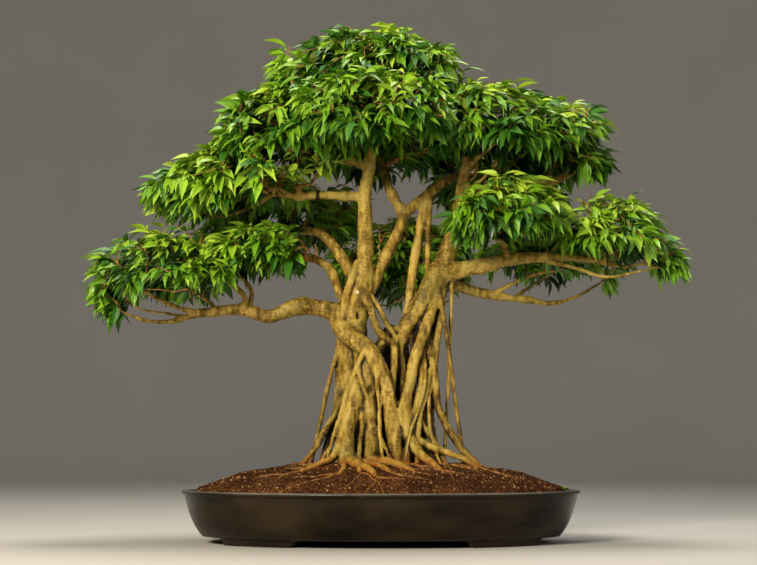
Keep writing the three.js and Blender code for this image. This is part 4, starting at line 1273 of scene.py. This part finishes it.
class Growth:
    """Twigs as a tree of points, each with its parent, grown on from the end of a bough."""

    def __init__(self, limb, girth):
        self.old = len(limb)
        self.at = list(limb)
        self.parent = list(range(-1, len(limb) - 1))
        self.heading = [(after - before).normalized() for before, after in zip(limb, limb[1:])]
        self.heading.append(self.heading[-1])
        self.children = [1] * (len(limb) - 1) + [0]
        self.least = [girth] * len(limb)
        self.tips = []

    def add_branch(self, thick, thin, line):
        """Takes in the points of a branch that is part of the bark's skin already."""
        points = [Vector(at) for at in limb_points(line, LIMB_STEP)]
        girths = np.linspace(thick, thin, len(points)) * MM
        last = min(range(self.old), key=lambda index: (self.at[index] - points[0]).length)
        for before, point, girth in zip(points, points[1:], girths[1:]):
            self.append(point, last, point - before, girth)
            last = len(self.at) - 1
        self.old = len(self.at)

    def append(self, point, parent, way, least):
        """Adds one point to the tree, with its parent, its direction and its least radius."""
        self.at.append(point)
        self.parent.append(parent)
        self.heading.append(way.normalized())
        self.least.append(least)
        self.children[parent] += 1
        self.children.append(0)

    def lay(self, root, end, leave, arrive, rng, least=(0.0, 0.0)):
        """Lays a curved twig from a point of the tree to an end, and returns the end's number."""
        start = self.at[root]
        reach = (end - start).length
        first = start + leave * reach * TWIG_KEEPS[0]
        second = end - arrive * reach * TWIG_KEEPS[1]
        steps = max(2, round(reach / NODE_STEP))
        last = root
        for step in range(1, steps + 1):
            t = step / steps
            point = ((1 - t) ** 3 * start + 3 * (1 - t) ** 2 * t * first + 3 * (1 - t) * t * t * second
                     + t ** 3 * end)
            if step < steps:
                point = point + Vector([rng.gauss(0, TWIG_WAVERS) for _ in range(3)])
            self.append(point, last, point - self.at[last], least[0] + (least[1] - least[0]) * t)
            last = len(self.at) - 1
        return last

    def fork_for(self, tip):
        """The point that a twig to this tip leaves best: near, not forked yet, not doubling back."""
        best, cost = 0, math.inf
        for index, (at, heading, children) in enumerate(zip(self.at, self.heading, self.children)):
            way = tip - at
            reach = way.length
            if children > 1 or reach < FORK_REACH:
                continue
            price = reach * (1 + TURN_COST - TURN_COST * way.dot(heading) / reach)
            if price < cost:
                best, cost = index, price
        return best

    def girths(self, thickest):
        """Radius at each point, from how many tips it carries."""
        carried = [0] * len(self.at)
        for tip, _ in self.tips:
            carried[tip] += 1
        for index in range(len(self.at) - 1, 0, -1):
            carried[self.parent[index]] += carried[index]
        return [max(least, min(thickest, TIP_RADIUS * max(1, count) ** PIPE_POWER))
                for count, least in zip(carried, self.least)]

    def edges(self, girths):
        """Points, radii and edges of the new twigs, each side twig from a thin point of its own."""
        main = {}
        for index in range(self.old, len(self.at)):
            parent = self.parent[index]
            if parent >= self.old and (parent not in main or girths[index] > girths[main[parent]]):
                main[parent] = index
        points, radii, edges = list(self.at), list(girths), []
        for index in range(self.old, len(self.at)):
            parent = self.parent[index]
            if main.get(parent) != index:
                points.append(self.at[parent])
                radii.append(min(girths[parent], FORK_SWELL * girths[index]))
                parent = len(points) - 1
            edges.append((parent, index))
        return points, radii, edges


def tuft_height(point):
    """How proud a mass stands at a place: 0 in a cleft between two tufts, 1 on top of one."""
    near = noise.voronoi(Vector(along / size for along, size in zip(point, TUFT)))[0]
    return min(1, 1.5 * (near[1] - near[0]))


def dome_points(mass, spacing, rng):
    """Ends of shoots, spread by the golden angle over a mass's dome, with the painted light of each layer.
    """
    a, b, c = mass.half
    power = SURFACE_POWER
    sides = ((a * b) ** power + (a * c) ** power + (b * c) ** power) / 3
    area = 2 * math.pi * (1 - mass.lowest) * sides ** (1 / power)
    for scale, thin, light in LAYERS:
        count = round(area * scale * scale / (spacing * thin) ** 2)
        for index in range(count):
            height = 1 - (1 - mass.lowest) * (index + 0.5) / count
            ring = math.sqrt(max(0, 1 - height * height))
            turn = index * GOLDEN_ANGLE + rng.uniform(-0.2, 0.2)
            shell = scale * (TIP_SHELL[0] + (TIP_SHELL[1] - TIP_SHELL[0]) * min(1, 0.6 + 0.6 * height))
            shell *= mass.spread * rng.uniform(*TIP_VARIES)
            away = Vector((ring * math.cos(turn), ring * math.sin(turn), height))
            away.z -= mass.sag * (1 - 0.5 * height) * max(0, away.dot(mass.outward)) ** 2
            away = Vector((away.x * a, away.y * b, away.z * c))
            proud = tuft_height(mass.middle + away)
            if proud > CLEFT_WIDTH:
                shell *= 1 - CLEFT_DEPTH * (1 - proud)
                yield mass.middle + away * shell, light


def grow_branches(growth, mass, rng):
    """Takes in the branches under a mass and grows three shoots on from the end of each."""
    shoots = []
    for branch in BRANCHES.get(mass.name, ()):
        growth.add_branch(*branch)
        tip, way = growth.old - 1, growth.heading[-1]
        across = way.cross(UP).normalized()
        for side in (-1, 0, 1):
            turned = (way + SPUR_TURN * side * across + UP * rng.uniform(*SPUR_RISE)).normalized()
            end = growth.at[tip] + turned * rng.uniform(*SPUR_LENGTH) * MM
            shoots.append((tip, end, way, turned))
    for root, end, leave, arrive in shoots:
        growth.tips.append((growth.lay(root, end, leave, arrive, rng), SPUR_LIGHT))


def grow_arms(growth, mass, masses, rng):
    """Spreads a bough's end into arms that reach out under the dome."""
    start = mass.limb[-1]
    way = mass.limb[-1] - mass.limb[-2]
    ahead = math.atan2(way.y, way.x)
    for index in range(ARM_COUNT):
        turn = ahead + 2 * math.pi * (index + rng.uniform(-0.25, 0.25)) / ARM_COUNT
        out = Vector((math.cos(turn) * mass.half.x, math.sin(turn) * mass.half.y, 0))
        end = mass.middle + out * ARM_REACH
        end.z = start.z + mass.half.z * rng.uniform(*ARM_RISE)
        if owned(mass, masses, end):
            root = growth.fork_for(end)
            way = (end - growth.at[root]).normalized()
            stout = [min(growth.least[root], share * mass.girth) for share in ARM_GIRTH]
            leave = (growth.heading[root] + way).normalized()
            growth.lay(root, end, leave, (way + UP * 0.2).normalized(), rng, stout)


def grow(mass, masses, settings, rng):
    """Grows a mass's branches, arms and shoots on from its bough."""
    growth = Growth(mass.limb, mass.girth)
    grow_branches(growth, mass, rng)
    grow_arms(growth, mass, masses, rng)
    ends = [row for row in dome_points(mass, settings.spacing, rng) if owned(mass, masses, row[0])]
    ends.sort(key=lambda row: (row[0] - mass.limb[-1]).length)
    for end, light in ends:
        root = growth.fork_for(end)
        way = (end - growth.at[root]).normalized()
        leave = (growth.heading[root] * 0.7 + way + UP * 0.25).normalized()
        out = (end - mass.middle).normalized()
        arrive = (out + way + UP * 0.15).normalized()
        growth.tips.append((growth.lay(root, end, leave, arrive, rng), light))
    return growth


def shoot_points(growth, tip, count, step):
    """Places back along a shoot from its tip, with the shoot's direction at each."""
    found = []
    index, gone, wanted = tip, 0.0, FIRST_LEAF
    while index >= growth.old and len(found) < count:
        parent = growth.parent[index]
        length = (growth.at[index] - growth.at[parent]).length
        while wanted <= gone + length and len(found) < count:
            share = (wanted - gone) / length
            found.append((growth.at[index].lerp(growth.at[parent], share), growth.heading[index]))
            wanted += step
        gone += length
        index = parent
    return found


def leaf_outline(share):
    """Half-width of a blade along its length: widest before the middle, with a long tip."""
    return LEAF_FULLEST * share ** 0.9 * (1 - share) ** 1.35


def leaf_shape(name, arch, fold):
    """A blade of unit length, folded along its midrib and arched, with its stalk behind it."""

    def at(share, side):
        half = leaf_outline(share) * LEAF_HALF * side
        return (half, share, fold * abs(half) - arch * share * share)

    vertices = [at(0, 0)]
    for share in LEAF_STATIONS:
        vertices += [at(share, -1), at(share, 0), at(share, 1)]
    vertices.append(at(1, 0))
    tip = len(vertices) - 1
    faces = [(0, 2, 1), (0, 3, 2)]
    for row in range(len(LEAF_STATIONS) - 1):
        low = 1 + 3 * row
        faces += [(low, low + 1, low + 4, low + 3), (low + 1, low + 2, low + 5, low + 4)]
    faces += [(tip - 3, tip - 2, tip), (tip - 2, tip - 1, tip)]
    vertices += [(-STALK_HALF, -STALK_DRAWN, STALK_LIFT), (STALK_HALF, -STALK_DRAWN, STALK_LIFT),
                 (STALK_HALF, 0.01, 0), (-STALK_HALF, 0.01, 0)]
    faces.append((tip + 1, tip + 2, tip + 3, tip + 4))
    made = mesh_object(name, vertices, faces)
    midrib = {0, tip} | {2 + 3 * row for row in range(len(LEAF_STATIONS))}
    sharp = [edge.vertices[0] in midrib and edge.vertices[1] in midrib for edge in made.data.edges]
    made.data.attributes.new("sharp_edge", "BOOLEAN", "EDGE").data.foreach_set("value", sharp)
    return made


def bud_shape(name):
    """A pointed bud of unit length, three-sided."""
    vertices = [(0, -0.2, 0)]
    for turn in (0, 1, 2):
        angle = 2 * math.pi * turn / 3
        vertices.append((0.17 * math.cos(angle), 0.25, 0.17 * math.sin(angle)))
    vertices.append((0, 1, 0))
    faces = [(0, 1, 2), (0, 2, 3), (0, 3, 1), (4, 2, 1), (4, 3, 2), (4, 1, 3)]
    return mesh_object(name, vertices, faces)


def spray_tree():
    """Sets one of several shapes on each point, turned and sized by the point's own attributes."""
    tree, start, end = node_tree("Sprays", {
        "Shapes": "NodeSocketCollection", "Length": "NodeSocketFloat", "Material": "NodeSocketMaterial"})
    shapes = add(tree, "GeometryNodeCollectionInfo", {
        "Collection": start.outputs["Shapes"], "Separate Children": True, "Reset Children": True})
    turn = add(tree, "GeometryNodeInputNamedAttribute", {"Name": "turn"}, data_type="FLOAT_VECTOR")
    size = add(tree, "GeometryNodeInputNamedAttribute", {"Name": "size"}, data_type="FLOAT")
    shape = add(tree, "GeometryNodeInputNamedAttribute", {"Name": "shape"}, data_type="INT")
    length = add(tree, "ShaderNodeMath", {0: size.outputs["Attribute"], 1: start.outputs["Length"]},
                 operation="MULTIPLY")
    rotation = add(tree, "FunctionNodeEulerToRotation", {0: turn.outputs["Attribute"]})
    leaves = add(tree, "GeometryNodeInstanceOnPoints",
                 {"Points": start.outputs["Geometry"], "Instance": shapes.outputs[0], "Pick Instance": True,
                  "Instance Index": shape.outputs["Attribute"], "Rotation": rotation.outputs[0],
                  "Scale": length.outputs[0]})
    return close_tree(tree, start, end, leaves.outputs["Instances"])


def twig_tree():
    """Turns lines into round twigs, each point as thick as its own attribute says."""
    tree, start, end = node_tree("Twigs", {"Sides": "NodeSocketInt", "Material": "NodeSocketMaterial"})
    lines = add(tree, "GeometryNodeMeshToCurve", {0: start.outputs["Geometry"]})
    girth = add(tree, "GeometryNodeInputNamedAttribute", {"Name": "girth"}, data_type="FLOAT")
    section = add(tree, "GeometryNodeCurvePrimitiveCircle", {
        "Resolution": start.outputs["Sides"], "Radius": 1.0})
    skin = add(tree, "GeometryNodeCurveToMesh",
               {"Curve": lines.outputs[0], "Profile Curve": section.outputs[0],
                "Scale": girth.outputs["Attribute"], "Fill Caps": True})
    smooth = add(tree, "GeometryNodeSetShadeSmooth", {0: skin.outputs[0]})
    return close_tree(tree, start, end, smooth.outputs[0])


def leaf_material(kind, colour):
    """Leathery fig leaf: smooth wax that gives a soft sheen over a plain green, finely puckered."""
    material, tree, output = new_material(f"fig_leaf_{kind}")
    place = add(tree, "ShaderNodeTexCoord").outputs["Object"]
    pucker = add(tree, "ShaderNodeTexNoise", {"Vector": place, "Scale": per_metre(5 * MM), "Detail": 2})
    rough = add(tree, "ShaderNodeMapRange", {
        "Value": pucker.outputs["Fac"], "From Min": 0.3, "From Max": 0.7, "To Min": 0.34, "To Max": 0.5})
    bump = add(tree, "ShaderNodeBump", {
        "Height": pucker.outputs["Fac"], "Strength": 0.12, "Distance": 0.6 * MM})
    shader = add(tree, "ShaderNodeBsdfPrincipled", {
        "Base Color": (*colour, 1), "Specular IOR Level": 0.4, "Roughness": rough.outputs["Result"],
        "Normal": bump.outputs["Normal"]})
    tree.links.new(shader.outputs["BSDF"], output.inputs["Surface"])
    return material


def twig_material(name, codes):
    """Young fig bark: thin and smooth, brown with paler rings, a little glossy."""
    material, tree, output = new_material(name)
    place = add(tree, "ShaderNodeTexCoord").outputs["Object"]
    rings = add(tree, "ShaderNodeTexNoise", {"Vector": place, "Scale": per_metre(9 * MM), "Detail": 3})
    colour = add(tree, "ShaderNodeValToRGB", {"Fac": rings.outputs["Fac"]},
                 stops=[(share, linear(code)) for share, code in zip((0.35, 0.52, 0.68), codes)])
    bump = add(tree, "ShaderNodeBump", {
        "Height": rings.outputs["Fac"], "Strength": 0.3, "Distance": 0.4 * MM})
    shader = add(tree, "ShaderNodeBsdfPrincipled", {
        "Base Color": colour.outputs["Color"], "Roughness": 0.55, "Normal": bump.outputs["Normal"]})
    tree.links.new(shader.outputs["BSDF"], output.inputs["Surface"])
    return material


def shoot_light(mass, out, rng):
    """How much painted light a shoot's leaves get, from its place in the mass's dome and by chance."""
    above = max(0, out.normalized().z + LIGHT_ROUND)
    light = LIGHT_ABOVE * above + LIGHT_OUTSIDE * min(1, out.length) + rng.uniform(0, LIGHT_CHANCE)
    return light + mass.sun


def spray_kind(light, rng):
    """The colour of a spray's leaves by its painted light and shade, at times a blue-green painted
    reflection.
    """
    if light > COOL_LIGHT and rng.random() < COOL_CHANCE:
        return "cool"
    for kind, least in KIND_LIGHT:
        if light > least:
            return kind
    return "shade"


def leaf_turn(shoot, out, side, steep, rng):
    """Turn of a leaf that leaves its shoot sideways and arches outwards by its own weight."""
    flat = Vector((FOLLOWS_SHOOT * shoot.x + out.x, FOLLOWS_SHOOT * shoot.y + out.y, 0))
    flat = flat.normalized() if flat.length > 0.05 else Vector((1, 0, 0))
    across = UP.cross(flat)
    spread = math.radians(rng.uniform(*LEAF_SPREAD)) * side
    heading = flat * math.cos(spread) + across * math.sin(spread)
    droop = math.radians(max(-LEAF_RISES, steep + rng.gauss(0, LEAF_VARIES)))
    along = heading * math.cos(droop) - UP * math.sin(droop)
    normal = UP * math.cos(droop) + heading * math.sin(droop)
    normal = Matrix.Rotation(rng.gauss(0, LEAF_TWIST), 3, along) @ normal
    right = along.cross(normal)
    return Matrix((right, along, normal)).transposed().to_euler()


def in_reach(point):
    """True where a point lies within the reach of the solids, or only a little outside their box."""
    low, high = SOLIDS_BOX
    return all(low[axis] - LEAF_PROUD < point[axis] < high[axis] + LEAF_PROUD for axis in range(3))


def in_sight(point):
    """True where a leaf would hide a bough that shows clear."""
    x, y, z = point / MM
    return any(left < x < right and low < z < high and y < back for left, right, low, high, back in SIGHTS)


def has_room(place, along, wood, wood_girths):
    """True where a leaf keeps clear of wood and of boughs that show, and within the plant's reach."""
    _, index, gap = wood.find(place + 0.5 * along)
    if gap < wood_girths[index] + LEAF_CLEAR or not in_reach(place + (1 + STALK) * along):
        return False
    return not any(in_sight(place + share * along) for share in (STALK, 0.7, 1 + STALK))


def dress(growth, mass, settings, wood, wood_girths, rng, leaves, buds):
    """Adds the rows of leaves, by kind, and of buds for every shoot of a mass."""
    for tip, layer_light in growth.tips:
        out = mass.shares(growth.at[tip])
        # The spray's colour paints its light and shade.
        kind = spray_kind(shoot_light(mass, out, rng) * layer_light, rng)
        out.normalize()
        steep = LEAF_HANGS - LEAF_LIFTS * max(0, out.z)
        lean = FOLLOWS_PLACE * out + FOLLOWS_TRUNK * mass.outward
        for count, (place, shoot) in enumerate(shoot_points(growth, tip, settings.leaves, LEAF_STEP)):
            side = 1 if count % 2 else -1
            if count == 0:
                side = rng.uniform(-END_TURN, END_TURN)
            turn = leaf_turn(shoot, lean, side, steep, rng)
            size = rng.uniform(*LEAF_SIZES) * (END_SIZE if count == 0 else 1)
            along = turn.to_matrix() @ Vector((0, size * settings.leaf, 0))
            if not has_room(place, along, wood, wood_girths):
                continue
            tone = kind
            if count == 0 and kind in ("bright", "middle") and rng.random() < YOUNG_CHANCE:
                tone = "young"
            shape = rng.randrange(len(LEAF_SHAPES))
            leaves[tone].append((place + STALK * along, turn, size, shape))
            if count in (0, 2) and rng.random() < BUD_CHANCE:
                aside = Matrix.Rotation(rng.uniform(-0.5, 0.5), 3, "X") @ shoot
                buds.append((place, aside.to_track_quat("Y", "Z").to_euler(), rng.uniform(0.7, 1.2), 0))


def sprout_rows():
    """Rows of the leaves of the seedling by the pot's edge."""
    sprout = Vector((SPROUT.x, SPROUT.y, soil_height(SPROUT.x, SPROUT.y) + SPROUT_LIFT))
    for count in range(SPROUT_LEAVES):
        turn = count * GOLDEN_ANGLE
        way = Vector((math.cos(turn), math.sin(turn), 1.2 - count / SPROUT_LEAVES))
        yield sprout, way.to_track_quat("Y", "Z").to_euler(), SPROUT_SIZE, count % len(LEAF_SHAPES)


def spray_object(name, rows, shapes, length, tree, material):
    """One piece of many leaves or buds: rows of place, turn, size and number of the shape."""
    points = bpy.data.meshes.new(name)
    points.from_pydata([row[0] for row in rows], [], [])
    turns = [angle for row in rows for angle in row[1]]
    points.attributes.new("turn", "FLOAT_VECTOR", "POINT").data.foreach_set("vector", turns)
    points.attributes.new("size", "FLOAT", "POINT").data.foreach_set("value", [row[2] for row in rows])
    points.attributes.new("shape", "INT", "POINT").data.foreach_set("value", [row[3] for row in rows])
    made = bpy.data.objects.new(name, points)
    bpy.context.scene.collection.objects.link(made)
    use_tree(made, tree, {"Shapes": shapes, "Length": length, "Material": material})
    keep(made, "foliage", *MASS_NAMES)


def twig_object(name, points, edges, girths, sides, material, nodes):
    """One piece of all the twigs on these edges."""
    used = sorted({end for edge in edges for end in edge})
    number = {old: new for new, old in enumerate(used)}
    lines = bpy.data.meshes.new(name)
    lines.from_pydata([points[old] for old in used], [(number[a], number[b]) for a, b in edges], [])
    girth = lines.attributes.new("girth", "FLOAT", "POINT")
    girth.data.foreach_set("value", [girths[old] for old in used])
    made = bpy.data.objects.new(name, lines)
    bpy.context.scene.collection.objects.link(made)
    use_tree(made, twig_tree(), {"Sides": sides, "Material": material})
    keep(made, "bark", *nodes)


def shape_collection(name, shapes):
    """A collection, outside the scene, of the shapes that are set on points."""
    made = bpy.data.collections.new(name)
    for shape in shapes:
        bpy.context.scene.collection.objects.unlink(shape)
        made.objects.link(shape)
    return made


class FIG_OT_crown(Operator):
    """Grows twigs and leaves on from the boughs, within the reach of each mass"""

    bl_idname = "fig.crown"
    bl_label = "Crown"

    def execute(self, context):
        settings = context.scene.fig_crown
        masses = [Mass(name) for name in MASSES]
        wood, wood_girths, _ = limb_index()
        points, edges, girths, buds = [], [], [], []
        leaves = {kind: [] for kind in LEAF_KINDS}
        for order, mass in enumerate(masses):
            rng = random.Random(settings.seed * 100 + order)
            growth = grow(mass, masses, settings, rng)
            first = len(points)
            new_points, new_girths, new_edges = growth.edges(growth.girths(mass.girth))
            points += new_points
            girths += new_girths
            edges += [(first + before, first + after) for before, after in new_edges]
            dress(growth, mass, settings, wood, wood_girths, rng, leaves, buds)
        leaves["bright"] += sprout_rows()
        thick = [edge for edge in edges if girths[edge[1]] > BRANCH_RADIUS]
        thin = [edge for edge in edges if girths[edge[1]] <= BRANCH_RADIUS]
        branch_bark = twig_material("branch_bark", ("#6d4e1a", "#93702e", "#b8924a"))
        twig_bark = twig_material("twig_bark", ("#7a4a24", "#a06c38", "#bf9355"))
        twig_object("branches", points, thick, girths, BRANCH_SIDES, branch_bark, MASS_NAMES)
        twig_object("twigs", points, thin, girths, TWIG_SIDES, twig_bark, MASS_NAMES)
        shapes = shape_collection("leaf_shapes", [leaf_shape(f"leaf_{index}", arch, fold)
                                                  for index, (arch, fold) in enumerate(LEAF_SHAPES)])
        tree = spray_tree()
        for kind in LEAF_KINDS:
            material = leaf_material(kind, getattr(settings, kind))
            for part, start in enumerate(range(0, len(leaves[kind]), PIECE_LEAVES), 1):
                spray_object(f"leaves_{kind}_{part}", leaves[kind][start:start + PIECE_LEAVES], shapes,
                             settings.leaf, tree, material)
        bud_shapes = shape_collection("bud_shapes", [bud_shape("bud")])
        bud_scales = twig_material("bud_scales", ("#6b3b1c", "#8f5228", "#a8733f"))
        spray_object("shoot_buds", buds, bud_shapes, settings.bud, tree, bud_scales)
        for collection in (shapes, bud_shapes):
            for shape in list(collection.objects):
                bpy.data.objects.remove(shape)
            bpy.data.collections.remove(collection)
        return {"FINISHED"}


# Stage

# The photograph's frame in pixels, its scale at the trunk, the ground's row and the trunk's column.
FRAME_WIDTH = 757
FRAME_HEIGHT = 565
PIXEL = 1.75 * MM
GROUND_ROW = 540
TRUNK_COLUMN = 381
# The camera: how far away and how high it stands, the width of its sensor in mm and how far it sees.
CAMERA_DISTANCE = 3.2
CAMERA_HEIGHT = 0.17
SENSOR_WIDTH = 36
CAMERA_SIGHT = 200
# The round cove that the floor sweeps up into, with no corner to show behind the plant.
COVE_HEART = 0.3
COVE_FLAT = 5.5
COVE_SWEEP = 3.0
COVE_TOP = 7.0
COVE_SEGMENTS = 96
COVE_STEPS = 12
# Colour and strength of the light from all round.
WORLD_COLOUR = "#e4e6ea"
WORLD_STRENGTH = 0.28
# Lights, all turned towards one point: place, width, watts and colour.
LIGHT_AIM = Vector((0, 0, 0.45))
LIGHTS = {
    "key_light": ((-1.5, -2.9, 1.55), 0.9, 158, "#fff2d8"),
    "fill_light": ((2.4, -2.0, 1.2), 2.0, 14, "#f3f4ff"),
    "top_light": ((0.3, 0.4, 3.0), 1.4, 65, "#fffaf0"),
}


def cove_mesh():
    """Vertices and faces of a level floor that turns up all round into a wall, facing inwards."""
    profile = [(COVE_HEART * COVE_FLAT, 0), (COVE_FLAT, 0)]
    for step in range(1, COVE_STEPS + 1):
        turn = 0.5 * math.pi * step / COVE_STEPS
        profile.append((COVE_FLAT + COVE_SWEEP * math.sin(turn), COVE_SWEEP * (1 - math.cos(turn))))
    profile.append((COVE_FLAT + COVE_SWEEP, COVE_TOP))
    vertices = [(0, 0, 0)]
    for reach, height in profile:
        for side in range(COVE_SEGMENTS):
            angle = 2 * math.pi * side / COVE_SEGMENTS
            vertices.append((reach * math.cos(angle), reach * math.sin(angle), height))
    faces = []
    for side in range(COVE_SEGMENTS):
        after = (side + 1) % COVE_SEGMENTS
        faces.append((0, 1 + side, 1 + after))
        for ring in range(len(profile) - 1):
            low, high = 1 + ring * COVE_SEGMENTS, 1 + (ring + 1) * COVE_SEGMENTS
            faces.append((low + side, high + side, high + after, low + after))
    return vertices, faces


def floor_material():
    """Pale matt paint with a faint cloudiness."""
    material, tree, output = new_material("pale_floor_paint")
    place = add(tree, "ShaderNodeTexCoord").outputs["Object"]
    cloud = add(tree, "ShaderNodeTexNoise", {"Vector": place, "Scale": per_metre(0.8), "Detail": 2})
    tone = add(tree, "ShaderNodeValToRGB", {"Fac": cloud.outputs["Fac"]},
               stops=[(0.3, linear("#bdbab4")), (0.7, linear("#c2bfb9"))])
    shader = add(tree, "ShaderNodeBsdfPrincipled", {
        "Base Color": tone.outputs["Color"], "Roughness": 0.85})
    tree.links.new(shader.outputs["BSDF"], output.inputs["Surface"])
    return material


def add_lights(scene):
    """Sets up the light from all round and the three soft lights."""
    world = bpy.data.worlds.new("studio")
    world.use_nodes = True
    background = world.node_tree.nodes["Background"]
    background.inputs["Color"].default_value = (*linear(WORLD_COLOUR), 1)
    background.inputs["Strength"].default_value = WORLD_STRENGTH
    scene.world = world
    for name, (place, size, power, colour) in LIGHTS.items():
        data = bpy.data.lights.new(name, "AREA")
        data.size = size
        data.energy = power
        data.color = linear(colour)
        light = bpy.data.objects.new(name, data)
        light.location = place
        light.rotation_mode = "QUATERNION"
        light.rotation_quaternion = (LIGHT_AIM - Vector(place)).to_track_quat("-Z", "Y")
        scene.collection.objects.link(light)


def add_camera(scene):
    """Sets up the camera so that the plant stands in the frame as it does in the photograph."""
    data = bpy.data.cameras.new("camera")
    camera = bpy.data.objects.new("camera", data)
    scene.collection.objects.link(camera)
    across = (FRAME_WIDTH / 2 - TRUNK_COLUMN) * PIXEL
    target = Vector((across, 0, (GROUND_ROW - FRAME_HEIGHT / 2) * PIXEL))
    camera.location = (across, -CAMERA_DISTANCE, CAMERA_HEIGHT)
    camera.rotation_mode = "QUATERNION"
    camera.rotation_quaternion = (target - camera.location).to_track_quat("-Z", "Y")
    distance = (target - camera.location).length
    data.sensor_width = SENSOR_WIDTH
    data.lens = data.sensor_width * distance / (FRAME_WIDTH * PIXEL)
    data.clip_end = CAMERA_SIGHT
    scene.camera = camera


class FIG_OT_stage(Operator):
    """Sets up the pale floor, the soft lights and the camera"""

    bl_idname = "fig.stage"
    bl_label = "Stage"

    def execute(self, context):
        material = floor_material()
        vertices, faces = cove_mesh()
        mesh_object("floor", vertices, faces, material)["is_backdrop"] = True
        add_lights(context.scene)
        add_camera(context.scene)
        context.scene.view_settings.view_transform = "Standard"
        return {"FINISHED"}


class FIG_PT_panel(Panel):
    """Lists the pieces of the bonsai"""

    bl_label = "Fig bonsai"
    bl_space_type = "VIEW_3D"
    bl_region_type = "UI"
    bl_category = "Fig bonsai"

    def draw(self, context):
        for piece in PIECES:
            self.layout.operator(piece.bl_idname)
        for group in GROUPS:
            box = self.layout.box()
            settings = getattr(context.scene, group)
            for name in settings.__annotations__:
                box.prop(settings, name)


PIECES = (FIG_OT_pot, FIG_OT_soil, FIG_OT_wood, FIG_OT_crown, FIG_OT_stage)
GROUPS = {"fig_pot": PotSettings, "fig_soil": SoilSettings, "fig_wood": WoodSettings,
          "fig_crown": CrownSettings}


def register():
    """Registers the settings, the operators and the panel."""
    for cls in (*GROUPS.values(), *PIECES, FIG_PT_panel):
        bpy.utils.register_class(cls)
    for name, group in GROUPS.items():
        setattr(bpy.types.Scene, name, PointerProperty(type=group))


def unregister():
    """Takes them away again."""
    for name in GROUPS:
        delattr(bpy.types.Scene, name)
    for cls in reversed((*GROUPS.values(), *PIECES, FIG_PT_panel)):
        bpy.utils.unregister_class(cls)


def main():
    """Makes every piece in order."""
    register()
    bpy.ops.fig.stage()
    bpy.ops.fig.pot()
    bpy.ops.fig.soil()
    bpy.ops.fig.wood()
    bpy.ops.fig.crown()
    boxes = {"cad": SOLIDS_BOX, "visual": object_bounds()}
    {name: [list(corner) for corner in box] for name, box in boxes.items()}


if __name__ == "__main__":
    main()
